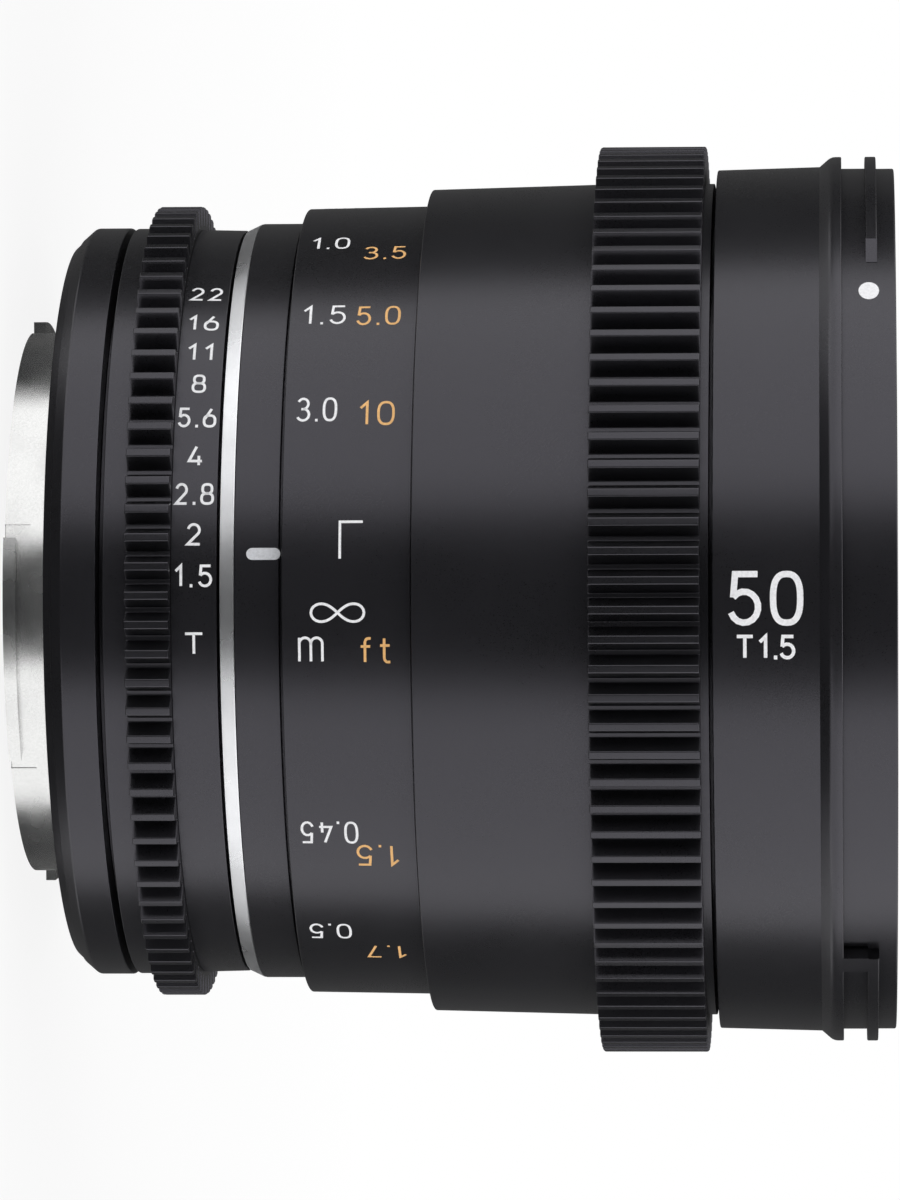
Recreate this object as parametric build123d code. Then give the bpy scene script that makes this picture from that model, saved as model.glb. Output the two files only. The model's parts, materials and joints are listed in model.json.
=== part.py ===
from build123d import *
import math
import os

# A 50 mm prime lens for cinema cameras, standing on its bayonet mount.
# The optical axis is +Z towards the subject, and the face of the mount flange is z = 0.
# Lengths are in millimetres and angles in degrees. A bearing is an angle about +Z from +X.
# Each radius is the one inside or outside it plus or less a wall or step, from the flange on.

# Gaps
seat_gap = 0.05
running_gap = 0.3
guide_gap = 0.15
overrun = 1.0

# Both gear rings have follow-focus teeth
gear_module = 0.8
dedendum_share = 1.25
tip_land_share = 0.265
root_land_share = 0.2
tooth_sink = 0.3
tooth_end_drop = 0.05
focus_tooth_bearing = -92.26
iris_tooth_bearing = -90.73

# Mount plate, of stainless steel
flange_radius = 31.6
flange_thickness = 1.6
flange_width = 6.7
neck_wall = 2.5
neck_depth = 4.4
tongue_rise = 0.95
tongue_thickness = 1.1
tongue_count = 3
tongue_arc = 46.4
tongue_bearing = -79.5
relief_depth = 0.3
relief_height = 2.3
relief_arc = 52.9
mount_screw_count = 4
mount_screw_inset = 3.0
mount_screw_bearing = 12.0
screw_head_radius = 1.7
screw_head_height = 0.9
screw_shank_radius = 0.8
screw_length = 3.6
screw_slot_share = 0.2
lock_slot_width = 2.3
lock_slot_length = 3.6
lock_slot_depth = 1.2
lock_slot_bearing = 150.0

# Rear baffle inside the neck, with the gap between its gate and the neck's bore
baffle_thickness = 1.2
baffle_inset = 0.3
gate_side = 6.9
gate_top = 11.9
gate_corner = 1.5

# Rear housing
rim_wall = 1.8
rim_height = 0.75
skirt_rise = 1.05
skirt_height = 4.8
skirt_bevel = 1.25
housing_floor = 1.8
housing_throat_step = 0.5
journal_wall = 2.4

# Mount index bead, on the shoulder of the rear housing
bead_radius = 1.0
bead_height = 0.5
bead_bearing = 173.3

# Iris ring, from its rear edge to its front edge
iris_seam = 0.6
iris_wall = 2.26
iris_collar_rise = 0.24
iris_collar_length = 1.2
iris_gear_rise = 2.24
iris_rear_bevel = 1.3
iris_gear_face = 3.4
iris_front_bevel = 1.2
iris_skirt_length = 2.95
ring_edge = 0.2

# Iris lever, from the iris ring forward to the cam ring
lever_bearing = 90.0
lever_inset = 1.9
lever_thickness = 1.6
lever_width = 3.0
lever_arm_height = 2.2
lever_set_back = 2.6
lever_seat_depth = 1.3
lever_tip_gap = 0.8
iris_opening_angle = 3.4
iris_closing_angle = 46.3

# Accent ring and index ring
accent_gap = 0.25
accent_length = 1.3
accent_rise = 0.56
index_length = 4.0
index_wall = 0.72

# Guide sleeve
sleeve_step = 0.4
sleeve_wall = 2.0
sleeve_floor = 1.5
sleeve_floor_width = 3.4

# Focus scale ring, from its rear edge to its front edge
focus_seam = 0.25
scale_wall = 0.76
scale_rise = 0.18
scale_chamfer = 0.91
scale_bevel = 0.8
scale_length = 9.9
scale_lip = 1.0
scale_step_gap = 0.5

# Focus barrel
barrel_step = 1.52
barrel_rise = 0.38
barrel_bevel = 0.8
barrel_length = 13.9
gear_seat_wall = 1.5

# Focus gear ring
focus_gear_rise = 3.41
gear_collar_length = 0.85
focus_gear_face = 9.9
gear_bevel = 0.5
gear_front_collar = 0.65

# Cam sleeve, which drives the glass along the axis
cam_sleeve_wall = 1.0
focus_throw = 138.8
focus_travel = 7.43
follower_count = 3
follower_radius = 1.5
follower_set_off = 0.5
follower_bearing = 30.0

# Front barrel
front_seam = 0.3
front_step = 1.31
front_rise = 0.29
front_wall = 3.29
front_length = 9.25
front_floor = 2.55
nut_thickness = 0.9
nut_clearance = 0.7
nut_slot_width = 2.0
nut_slot_depth = 0.5

# Hood and filter ring, from its rear edge to its front edge
ridge_bevel = 1.1
ridge_rise = 0.89
ridge_land = 0.85
channel_depth = 1.0
channel_length = 2.2
lug_thickness = 1.0
rim_step = 0.1
hood_rim_length = 1.65
filter_wall = 1.48
filter_thread_depth = 4.0
upper_lug_bearing = 136.3
upper_lug_arc = 87.4
lower_lug_bearing = -36.6
lower_lug_arc = 75.1
stop_arc = 2.2
stop_pocket_arc = 3.0
stop_pocket_depth = 0.4

# Optical barrel and cells
optical_barrel_wall = 2.2
ledge_width = 2.0
ledge_thickness = 1.15
nose_step = 3.8
nose_wall = 2.2
nose_length = 2.1
front_retainer_length = 1.0
front_spacer_length = 3.3
doublet_air_gap = 1.85
rear_cell_gap = 2.4
rear_cell_wall = 4.0
rear_cell_back = 2.6
rear_cell_lip = 0.75
rear_spacer_length = 3.1
rear_throat_length = 4.0
rear_flange_thickness = 1.7
rear_nose_wall = 3.6
rear_nose_length = 1.4
rear_nose_lip = 1.7

# Front trim, with its light-trap steps
trim_clearance = 0.5
trim_rim_width = 0.9
trim_rim_height = 3.0
trim_back_gap = 0.5
trim_thickness = 1.3
trim_step = 0.28
trim_steps = 5

# Iris: nine blades between the iris housing and the cam ring
blade_count = 9
blade_width = 6.6
blade_inset = 2.2
blade_show = 0.4
blade_thickness = 0.1
blade_pitch = 0.2
blade_tail_angle = -4.0
blade_tip_angle = 114.0
pivot_inset = 4.6
pivot_radius = 0.7
pin_radius = 0.6
pin_arm = 5.2
pin_gap = 0.05
blade_swing = 33.4
ear_wall = 0.9
iris_plate_thickness = 1.5
iris_housing_wall = 1.85
cam_ring_thickness = 1.4
cam_ring_gap = 0.2
cam_ring_width = 8.4
fork_length = 12.5
fork_prong_width = 2.0

# Glass. The radii step down from the front glass to the cemented pair, and likewise at the rear.
glass_2_step = 1.9
glass_3_step = 4.0
glass_7_step = 1.0
glass_seat = 1.6

# Rim thickness, front bulge and back bulge of each glass, as shares of its rim radius.
# A bulge is positive where the face swells out of the rim and negative where it is hollow.
glass_1_shares = (0.124, 0.098, -0.132)
glass_2_shares = (0.140, 0.186, -0.023)
glass_3_shares = (0.171, 0.171, 0.0)
glass_4_shares = (0.286, 0.0, -0.194)
glass_5_shares = (0.267, -0.200, 0.0)
glass_6_shares = (0.267, 0.0, 0.200)
glass_7_shares = (0.168, 0.077, 0.0)
glass_8_shares = (0.181, 0.0, 0.129)
glass_9_shares = (0.145, 0.055, 0.073)

# Radii of the mount and the rear housing
neck_radius = flange_radius - flange_width
neck_bore_radius = neck_radius - neck_wall
tongue_radius = neck_radius + tongue_rise
mount_screw_circle = flange_radius - mount_screw_inset
gate_width = 2 * (neck_bore_radius - gate_side)
gate_height = 2 * (neck_bore_radius - gate_top)
rim_radius = flange_radius + rim_wall
skirt_radius = rim_radius + skirt_rise
housing_throat_radius = neck_bore_radius + housing_throat_step
journal_radius = flange_radius
journal_bore_radius = journal_radius - journal_wall

# Radii of the rings, from the iris ring to the hood ring
iris_bore_radius = journal_radius + running_gap
iris_skirt_radius = iris_bore_radius + iris_wall
iris_collar_radius = iris_skirt_radius + iris_collar_rise
iris_teeth = round(2 * (iris_skirt_radius + iris_gear_rise) / gear_module) - 2
accent_front_radius = iris_skirt_radius + accent_rise
sleeve_bore_radius = journal_radius + sleeve_step
sleeve_radius = sleeve_bore_radius + sleeve_wall
sleeve_floor_bore_radius = sleeve_bore_radius - sleeve_floor_width
index_radius = sleeve_radius + seat_gap + index_wall
cam_sleeve_bore_radius = sleeve_radius + running_gap
cam_sleeve_radius = cam_sleeve_bore_radius + cam_sleeve_wall
focus_bore_radius = cam_sleeve_radius + seat_gap
scale_radius = focus_bore_radius + scale_wall
scale_rear_radius = scale_radius - scale_chamfer
scale_front_radius = scale_radius + scale_rise
barrel_rear_radius = scale_front_radius + barrel_step
barrel_front_radius = barrel_rear_radius + barrel_rise
gear_seat_radius = focus_bore_radius + gear_seat_wall
focus_teeth = round(2 * (barrel_front_radius + focus_gear_rise) / gear_module) - 2
front_rear_radius = barrel_front_radius + front_step
front_front_radius = front_rear_radius + front_rise
front_bore_radius = front_front_radius - front_wall
nut_radius = front_bore_radius - nut_clearance
trim_radius = front_bore_radius - trim_clearance
ridge_radius = front_front_radius + ridge_rise
channel_radius = ridge_radius - channel_depth
hood_rim_radius = channel_radius - rim_step
filter_thread_radius = hood_rim_radius - filter_wall

# Radii of the optical block
optical_barrel_radius = sleeve_bore_radius - running_gap
optical_bore_radius = optical_barrel_radius - optical_barrel_wall
ledge_radius = optical_bore_radius - ledge_width
front_cell_radius = optical_bore_radius - 2 * seat_gap
nose_radius = front_cell_radius - nose_step
glass_1_radius = nose_radius - nose_wall
glass_2_radius = glass_1_radius - glass_2_step
glass_3_radius = glass_2_radius - glass_3_step
rear_cell_radius = housing_throat_radius - rear_cell_gap
glass_9_radius = rear_cell_radius - rear_cell_wall
glass_7_radius = glass_9_radius - glass_7_step
iris_wall_bore_radius = optical_bore_radius - seat_gap - iris_housing_wall
cam_ring_radius = iris_wall_bore_radius - running_gap
cam_ring_bore_radius = cam_ring_radius - cam_ring_width
rear_nose_radius = cam_ring_bore_radius - running_gap
glass_5_radius = rear_nose_radius - rear_nose_wall
pivot_circle = iris_wall_bore_radius - pivot_inset
blade_outer_radius = pivot_circle - blade_inset
blade_inner_radius = blade_outer_radius - blade_width
iris_plate_bore_radius = blade_inner_radius + blade_show
lever_inner_radius = iris_wall_bore_radius - lever_inset
lever_outer_radius = lever_inner_radius + lever_thickness
lever_seat_radius = iris_bore_radius + lever_seat_depth

# Stations along the axis, from the flange forward
iris_ring_back = skirt_height + iris_seam
iris_gear_back = iris_ring_back + iris_collar_length
iris_gear_front = iris_gear_back + iris_rear_bevel + iris_gear_face + iris_front_bevel
iris_ring_front = iris_gear_front + iris_skirt_length
accent_back = iris_ring_front + accent_gap
accent_front = accent_back + accent_length
index_front = accent_front + index_length
focus_back = index_front + focus_seam
scale_back = focus_back + scale_bevel
scale_front = scale_back + scale_length
barrel_back = scale_front + scale_step_gap
barrel_front = barrel_back + barrel_bevel + barrel_length
focus_gear_back = barrel_front + gear_collar_length
focus_gear_front = focus_gear_back + focus_gear_face
focus_front = focus_gear_front + gear_front_collar
front_back = focus_front + front_seam
front_front = front_back + front_length
ridge_front = front_front + ridge_bevel + ridge_land
lug_back = ridge_front + channel_length
lug_front = lug_back + lug_thickness
lens_front = lug_front + hood_rim_length
sleeve_back = accent_front + seat_gap
sleeve_front = front_back + front_floor
nut_front = sleeve_front + seat_gap + nut_thickness
lever_back = iris_ring_back + lever_set_back

# Stations of the rear glass, from the rear edge of each rim forward
glass_9_height = rear_cell_back + rear_cell_lip + glass_seat + seat_gap
glass_9_front = glass_9_height + glass_9_radius * glass_9_shares[0]
glass_8_height = glass_9_front + seat_gap + rear_spacer_length + seat_gap
glass_7_height = glass_8_height + glass_7_radius * glass_8_shares[0]
glass_7_front = glass_7_height + glass_7_radius * glass_7_shares[0]
glass_6_height = glass_7_front + glass_seat + rear_throat_length
glass_5_height = glass_6_height + glass_5_radius * glass_6_shares[0]
glass_5_front = glass_5_height + glass_5_radius * glass_5_shares[0]
rear_nose_front = glass_5_front + seat_gap + glass_seat + rear_nose_lip
iris_housing_back = rear_nose_front - rear_nose_length + seat_gap
rear_flange_back = iris_housing_back - seat_gap - rear_flange_thickness

# Stations of the iris and of the front glass, which is placed from the front of its cell
cam_ring_back = iris_housing_back + seat_gap + cam_ring_gap
cam_ring_front = cam_ring_back + cam_ring_thickness
iris_plate_back = cam_ring_front + cam_ring_gap + blade_pitch * blade_count
ledge_back = iris_plate_back + iris_plate_thickness + seat_gap
ledge_front = ledge_back + ledge_thickness
follower_height = ledge_front + follower_set_off
optical_barrel_back = sleeve_back + sleeve_floor + running_gap + seat_gap
cell_front = sleeve_front + seat_gap
retainer_front = cell_front + nose_length - seat_gap
retainer_back = retainer_front - front_retainer_length
glass_1_front = retainer_back - 2 * seat_gap
glass_1_height = glass_1_front - glass_1_radius * glass_1_shares[0]
glass_2_front = glass_1_height - seat_gap - front_spacer_length - seat_gap
glass_2_height = glass_2_front - glass_2_radius * glass_2_shares[0]
glass_3_front = glass_2_height - doublet_air_gap - glass_seat - seat_gap
glass_3_height = glass_3_front - glass_3_radius * glass_3_shares[0]
glass_4_height = glass_3_height - glass_3_radius * glass_4_shares[0]
pin_start_angle = -90 - blade_swing / 2


def revolved(points, arc=360):
    """Turn an outline of (radius, z) corners about the optical axis."""
    outline = Polyline(*points, close=True)
    return revolve(Plane.XZ * make_face(outline), Axis.Z, revolution_arc=arc)


def ring(inner, outer, back, front, arc=360, start=0):
    """A plain ring, or a stretch of one that begins at the bearing start."""
    corners = [(inner, back), (outer, back), (outer, front), (inner, front)]
    return Rot(Z=start) * revolved(corners, arc)


def radial_pin(radius, inner, outer, height, bearing):
    """A round pin that points away from the axis."""
    pin = Cylinder(radius, outer - inner, align=(Align.CENTER, Align.CENTER, Align.MIN))
    return Rot(Z=bearing) * Pos(inner, 0, height) * Rot(Y=90) * pin


def axial_pin(radius, distance, back, front, bearing=0):
    """A round pin that runs along the optical axis."""
    pin = Cylinder(radius, front - back, align=(Align.CENTER, Align.CENTER, Align.MIN))
    return Rot(Z=bearing) * Pos(distance, 0, back) * pin


def radial_block(inner, outer, width, back, front, bearing):
    """A straight bar that points away from the axis."""
    block = Box(
        outer - inner, width, front - back, align=(Align.MIN, Align.CENTER, Align.MIN)
    )
    return Rot(Z=bearing) * Pos(inner, 0, back) * block


def polar(radius, bearing):
    return (radius * math.cos(math.radians(bearing)), radius * math.sin(math.radians(bearing)))


def tip_radius(teeth):
    return gear_module * (teeth + 2) / 2


def root_radius(teeth):
    return gear_module * (teeth - 2 * dedendum_share) / 2


def gear_teeth(teeth, back, front, end_radius, rear_bevel, front_bevel, first_bearing):
    """Straight-flanked teeth, each running out in a bevel at both ends."""
    tip, root = tip_radius(teeth), root_radius(teeth)
    sunk = root - tooth_sink
    half_tip = math.pi * tip * tip_land_share / teeth
    half_root = math.pi * root * (1 - root_land_share) / teeth
    half_sunk = half_root + (half_root - half_tip) * tooth_sink / (tip - root)
    side = [
        (sunk, back + tooth_sink),
        (end_radius, back),
        (tip, back + rear_bevel),
        (tip, front - front_bevel),
        (end_radius, front),
        (sunk, front - tooth_sink),
    ]
    section = [(sunk, -half_sunk), (tip, -half_tip), (tip, half_tip), (sunk, half_sunk)]
    blank = extrude(Plane.XZ * make_face(Polyline(*side, close=True)), half_sunk, both=True)
    flanks = extrude(make_face(Polyline(*section, close=True)), front - back)
    tooth = blank & Pos(0, 0, back) * flanks
    return [Rot(Z=first_bearing + index * 360 / teeth) * tooth for index in range(teeth)]


# Mount


def mount_plate():
    body = ring(neck_bore_radius, flange_radius, 0, flange_thickness)
    body += ring(neck_bore_radius, neck_radius, -neck_depth, 0)
    for index in range(tongue_count):
        bearing = tongue_bearing + index * 360 / tongue_count
        body -= ring(
            neck_radius - relief_depth, neck_radius + overrun,
            -neck_depth, relief_height - neck_depth, relief_arc, bearing - relief_arc / 2,
        )
        body += ring(
            neck_radius - relief_depth, tongue_radius,
            -neck_depth, tongue_thickness - neck_depth, tongue_arc, bearing - tongue_arc / 2,
        )
    for index in range(mount_screw_count):
        body -= screw_space(index, seat_gap)
    body -= radial_block(
        flange_radius - lock_slot_length, flange_radius + overrun, lock_slot_width,
        -overrun, lock_slot_depth, lock_slot_bearing,
    )
    return body


def screw_space(index, gap):
    """The room that one countersunk mount screw takes, its head level with the flange face."""
    head, shank = screw_head_radius + gap, screw_shank_radius + gap
    outline = [(0, 0), (head, 0), (shank, screw_head_height), (shank, screw_length + gap), (0, screw_length + gap)]
    bearing = mount_screw_bearing + index * 360 / mount_screw_count
    return Rot(Z=bearing) * Pos(mount_screw_circle, 0, 0) * revolved(outline)


def mount_screw(index):
    bearing = mount_screw_bearing + index * 360 / mount_screw_count
    arm, depth = screw_head_radius, screw_head_height / 2
    slot = Box(arm * 2, screw_head_radius * screw_slot_share, depth * 2)
    cross = slot + Rot(Z=90) * slot
    return screw_space(index, 0) - Rot(Z=bearing) * Pos(mount_screw_circle, 0, 0) * cross


def rear_baffle():
    back = baffle_inset - neck_depth
    plate = Circle(neck_bore_radius - seat_gap) - RectangleRounded(gate_width, gate_height, gate_corner)
    body = Pos(0, 0, back) * extrude(plate, baffle_thickness)
    throat = neck_bore_radius - seat_gap - baffle_thickness
    return body + ring(throat, neck_bore_radius - seat_gap, back, 0)


def rear_housing():
    pocket = flange_thickness + seat_gap
    floor_front = pocket + housing_floor
    body = revolved(
        [
            (flange_radius + seat_gap, 0),
            (rim_radius, 0),
            (rim_radius, rim_height),
            (skirt_radius, rim_height + skirt_bevel),
            (skirt_radius, skirt_height),
            (journal_radius, skirt_height),
            (journal_radius, accent_front),
            (journal_bore_radius, accent_front),
            (journal_bore_radius, floor_front),
            (housing_throat_radius, floor_front),
            (housing_throat_radius, pocket),
            (flange_radius + seat_gap, pocket),
        ]
    )
    body -= lever_window(journal_bore_radius - overrun, journal_radius + overrun)
    for index in range(mount_screw_count):
        body -= screw_space(index, seat_gap)
    return body - index_bead(seat_gap)


def lever_window(inner, outer):
    """The slot in the journal that the iris lever sweeps through."""
    margin = math.degrees((lever_width / 2 + running_gap) / journal_bore_radius)
    arc = iris_opening_angle + iris_closing_angle + 2 * margin
    start = lever_bearing - iris_opening_angle - margin
    top = lever_back + lever_arm_height + running_gap
    return ring(inner, outer, lever_back - running_gap, top, arc, start)


def index_bead(gap):
    """A small domed bead on the shoulder of the rear housing."""
    height = rim_height + skirt_bevel + bead_radius
    return radial_pin(bead_radius + gap, skirt_radius - bead_height, skirt_radius, height, bead_bearing)


# Iris ring


def iris_ring():
    bore, root = iris_bore_radius, root_radius(iris_teeth)
    skirt_back_radius = iris_skirt_radius + ring_edge / 2
    body = revolved(
        [
            (bore, iris_ring_back),
            (iris_collar_radius - ring_edge, iris_ring_back),
            (iris_collar_radius, iris_ring_back + ring_edge),
            (iris_collar_radius, iris_gear_back),
            (root, iris_gear_back),
            (root, iris_gear_front),
            (skirt_back_radius, iris_gear_front),
            (iris_skirt_radius, iris_ring_front - ring_edge),
            (iris_skirt_radius - ring_edge, iris_ring_front),
            (bore, iris_ring_front),
        ]
    )
    body += gear_teeth(
        iris_teeth, iris_gear_back, iris_gear_front, root - tooth_end_drop,
        iris_rear_bevel, iris_front_bevel, iris_tooth_bearing,
    )
    return body - radial_block(
        bore - overrun, lever_seat_radius + seat_gap, lever_width + 2 * seat_gap,
        lever_back - seat_gap, lever_back + lever_arm_height + seat_gap, lever_bearing,
    )


def iris_lever():
    tip_height = rear_flange_back - lever_tip_gap
    arm = radial_block(
        lever_inner_radius, lever_seat_radius, lever_width,
        lever_back, lever_back + lever_arm_height, lever_bearing,
    )
    bar = radial_block(
        lever_inner_radius, lever_outer_radius, lever_width,
        lever_back, tip_height, lever_bearing,
    )
    return arm + bar


# Fixed rings and the guide sleeve


def accent_ring():
    return revolved(
        [
            (journal_radius + seat_gap, accent_back),
            (iris_skirt_radius, accent_back),
            (accent_front_radius, accent_front - ring_edge),
            (accent_front_radius, accent_front),
            (journal_radius + seat_gap, accent_front),
        ]
    )


def index_ring():
    return revolved(
        [
            (sleeve_radius + seat_gap, sleeve_back),
            (index_radius, sleeve_back),
            (index_radius, index_front - ring_edge),
            (index_radius - ring_edge, index_front),
            (sleeve_radius + seat_gap, index_front),
        ]
    )


def guide_sleeve():
    body = revolved(
        [
            (sleeve_floor_bore_radius, sleeve_back),
            (sleeve_radius, sleeve_back),
            (sleeve_radius, sleeve_front),
            (sleeve_bore_radius, sleeve_front),
            (sleeve_bore_radius, sleeve_back + sleeve_floor),
            (sleeve_floor_bore_radius, sleeve_back + sleeve_floor),
        ]
    )
    half_width = follower_radius + guide_gap
    for index in range(follower_count):
        bearing = follower_bearing + index * 360 / follower_count
        inner, outer = sleeve_bore_radius - overrun, sleeve_radius + overrun
        top = follower_height + focus_travel
        body -= radial_block(inner, outer, 2 * half_width, follower_height, top, bearing)
        body -= radial_pin(half_width, inner, outer, follower_height, bearing)
        body -= radial_pin(half_width, inner, outer, top, bearing)
    return body


# Focus ring


def focus_scale_ring():
    return revolved(
        [
            (cam_sleeve_bore_radius, focus_back),
            (scale_rear_radius, focus_back),
            (scale_radius, scale_back),
            (scale_front_radius, scale_front),
            (focus_bore_radius, scale_front),
            (focus_bore_radius, focus_back + scale_lip),
            (cam_sleeve_bore_radius, focus_back + scale_lip),
        ]
    )


def focus_barrel():
    back = scale_front + seat_gap
    shoulder = barrel_rear_radius - barrel_bevel
    return revolved(
        [
            (focus_bore_radius, back),
            (scale_front_radius, back),
            (shoulder, barrel_back),
            (barrel_rear_radius, barrel_back + barrel_bevel),
            (barrel_front_radius, barrel_front),
            (gear_seat_radius, barrel_front),
            (gear_seat_radius, focus_front - ring_edge),
            (gear_seat_radius - ring_edge, focus_front),
            (focus_bore_radius, focus_front),
        ]
    )


def focus_gear_ring():
    bore = gear_seat_radius + seat_gap
    root = root_radius(focus_teeth)
    body = revolved(
        [
            (bore, barrel_front + seat_gap),
            (barrel_front_radius, barrel_front + seat_gap),
            (barrel_front_radius, focus_gear_back),
            (root, focus_gear_back),
            (root, focus_gear_front),
            (barrel_front_radius, focus_gear_front),
            (barrel_front_radius, focus_front),
            (bore, focus_front),
        ]
    )
    return body + gear_teeth(
        focus_teeth, focus_gear_back, focus_gear_front, tip_radius(focus_teeth) - gear_bevel,
        gear_bevel, gear_bevel, focus_tooth_bearing,
    )


def cam_sleeve():
    """The sleeve that turns with the focus ring. Its helical slots push the followers forward."""
    back = focus_back + scale_lip + seat_gap
    front = focus_front - ring_edge
    body = ring(cam_sleeve_bore_radius, cam_sleeve_radius, back, front)
    for index in range(follower_count):
        bearing = follower_bearing + index * 360 / follower_count
        body -= helical_slot(bearing)
    return body


def helical_slot(bearing):
    """A slot that climbs by the focus travel while its bearing falls by the focus throw."""
    middle = (cam_sleeve_bore_radius + cam_sleeve_radius) / 2
    inner, outer = cam_sleeve_bore_radius - overrun, cam_sleeve_radius + overrun
    half_width = follower_radius + guide_gap
    climb = focus_travel * 360 / focus_throw
    path = Helix(climb, focus_travel, middle, lefthand=True)
    start = Plane(origin=path @ 0, x_dir=(1, 0, 0), z_dir=path % 0)
    section = start * Rectangle(outer - inner, 2 * half_width)
    slot = sweep(section, path=path, is_frenet=True)
    slot = Pos(0, 0, follower_height) * Rot(Z=bearing) * slot
    slot += radial_pin(half_width, inner, outer, follower_height, bearing)
    top = follower_height + focus_travel
    return slot + radial_pin(half_width, inner, outer, top, bearing - focus_throw)


# Front barrel and the ring for the hood and filter


def front_barrel():
    return revolved(
        [
            (sleeve_radius + seat_gap, front_back),
            (front_rear_radius - ring_edge, front_back),
            (front_rear_radius, front_back + ring_edge),
            (front_front_radius, front_front - ring_edge),
            (front_front_radius - ring_edge, front_front),
            (front_bore_radius, front_front),
            (front_bore_radius, sleeve_front),
            (sleeve_radius + seat_gap, sleeve_front),
        ]
    )


def sleeve_nut():
    bore = sleeve_bore_radius + running_gap
    body = ring(bore, nut_radius, sleeve_front + seat_gap, nut_front)
    for bearing in (0, 180):
        body -= radial_block(
            bore - overrun, nut_radius + overrun, nut_slot_width,
            nut_front - nut_slot_depth, nut_front + overrun, bearing,
        )
    return body


def hood_ring():
    back = front_front + seat_gap
    body = revolved(
        [
            (front_bore_radius, back),
            (front_front_radius, back),
            (ridge_radius, front_front + ridge_bevel),
            (ridge_radius, ridge_front),
            (channel_radius, ridge_front),
            (channel_radius, lug_back),
            (hood_rim_radius, lug_back),
            (hood_rim_radius, lens_front - ring_edge),
            (hood_rim_radius - ring_edge, lens_front),
            (filter_thread_radius + ring_edge, lens_front),
            (filter_thread_radius, lens_front - ring_edge),
            (filter_thread_radius, lens_front - filter_thread_depth),
            (front_bore_radius, lens_front - filter_thread_depth),
        ]
    )
    lug_root = hood_rim_radius - ring_edge
    for arc, bearing in ((upper_lug_arc, upper_lug_bearing), (lower_lug_arc, lower_lug_bearing)):
        body += ring(lug_root, ridge_radius, lug_back, lug_front, arc, bearing)
    body += ring(lug_root, ridge_radius, ridge_front, lug_front, stop_arc, lower_lug_bearing)
    return body - ring(
        hood_rim_radius - stop_pocket_depth, ridge_radius + overrun, ridge_front, lug_front,
        stop_pocket_arc, lower_lug_bearing - stop_pocket_arc,
    )


# Optical block


def optical_barrel():
    body = revolved(
        [
            (optical_bore_radius, optical_barrel_back),
            (optical_barrel_radius, optical_barrel_back),
            (optical_barrel_radius, cell_front),
            (optical_bore_radius, cell_front),
            (optical_bore_radius, ledge_front),
            (ledge_radius, ledge_front),
            (ledge_radius, ledge_back),
            (optical_bore_radius, ledge_back),
        ]
    )
    for index in range(follower_count):
        bearing = follower_bearing + index * 360 / follower_count
        hole_radius = follower_radius + seat_gap
        body -= radial_pin(
            hole_radius, front_cell_radius, optical_barrel_radius + overrun, follower_height, bearing
        )
    return body


def follower(index):
    bearing = follower_bearing + index * 360 / follower_count
    tip = cam_sleeve_radius - running_gap
    return radial_pin(follower_radius, optical_bore_radius + seat_gap, tip, follower_height, bearing)


def front_cell():
    doublet_bore = glass_3_radius + seat_gap
    front = cell_front + nose_length
    return revolved(
        [
            (glass_3_radius - glass_seat, ledge_front + seat_gap),
            (front_cell_radius, ledge_front + seat_gap),
            (front_cell_radius, cell_front),
            (nose_radius, cell_front),
            (nose_radius, front),
            (retainer_radius() + seat_gap, front),
            (retainer_radius() + seat_gap, retainer_back - seat_gap),
            (glass_1_radius + seat_gap, retainer_back - seat_gap),
            (glass_1_radius + seat_gap, glass_1_height),
            (glass_2_radius + seat_gap, glass_1_height),
            (glass_2_radius + seat_gap, glass_2_height),
            (doublet_bore, glass_2_height),
            (doublet_bore, glass_4_height),
            (glass_3_radius - glass_seat, glass_4_height),
        ]
    )


def retainer_radius():
    return (glass_1_radius + nose_radius) / 2


def front_retainer():
    return ring(glass_1_radius - glass_seat, retainer_radius(), retainer_back, retainer_front)


def front_spacer():
    back, front = glass_2_front + seat_gap, glass_1_height - seat_gap
    return ring(glass_2_radius - glass_seat, glass_2_radius, back, front)


def doublet_retainer():
    back = glass_3_front + seat_gap
    return ring(glass_3_radius - glass_seat, glass_3_radius, back, back + glass_seat)


def front_trim():
    """The plain ring round the front glass, stepped to trap stray light."""
    back = nut_front + trim_back_gap
    bore = nose_radius + seat_gap
    crest = back + trim_rim_height
    corners = [
        (bore, cell_front + seat_gap),
        (front_cell_radius, cell_front + seat_gap),
        (front_cell_radius, back),
        (trim_radius, back),
        (trim_radius, crest - ring_edge),
        (trim_radius - ring_edge, crest),
        (trim_radius - trim_rim_width, crest),
    ]
    step_width = (trim_radius - trim_rim_width - bore) / trim_steps
    top = back + trim_thickness + trim_steps * trim_step
    for step in range(trim_steps):
        radius = trim_radius - trim_rim_width - step * step_width
        corners.append((radius, top - step * trim_step))
        corners.append((radius - step_width, top - step * trim_step))
    return revolved(corners)


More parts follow.
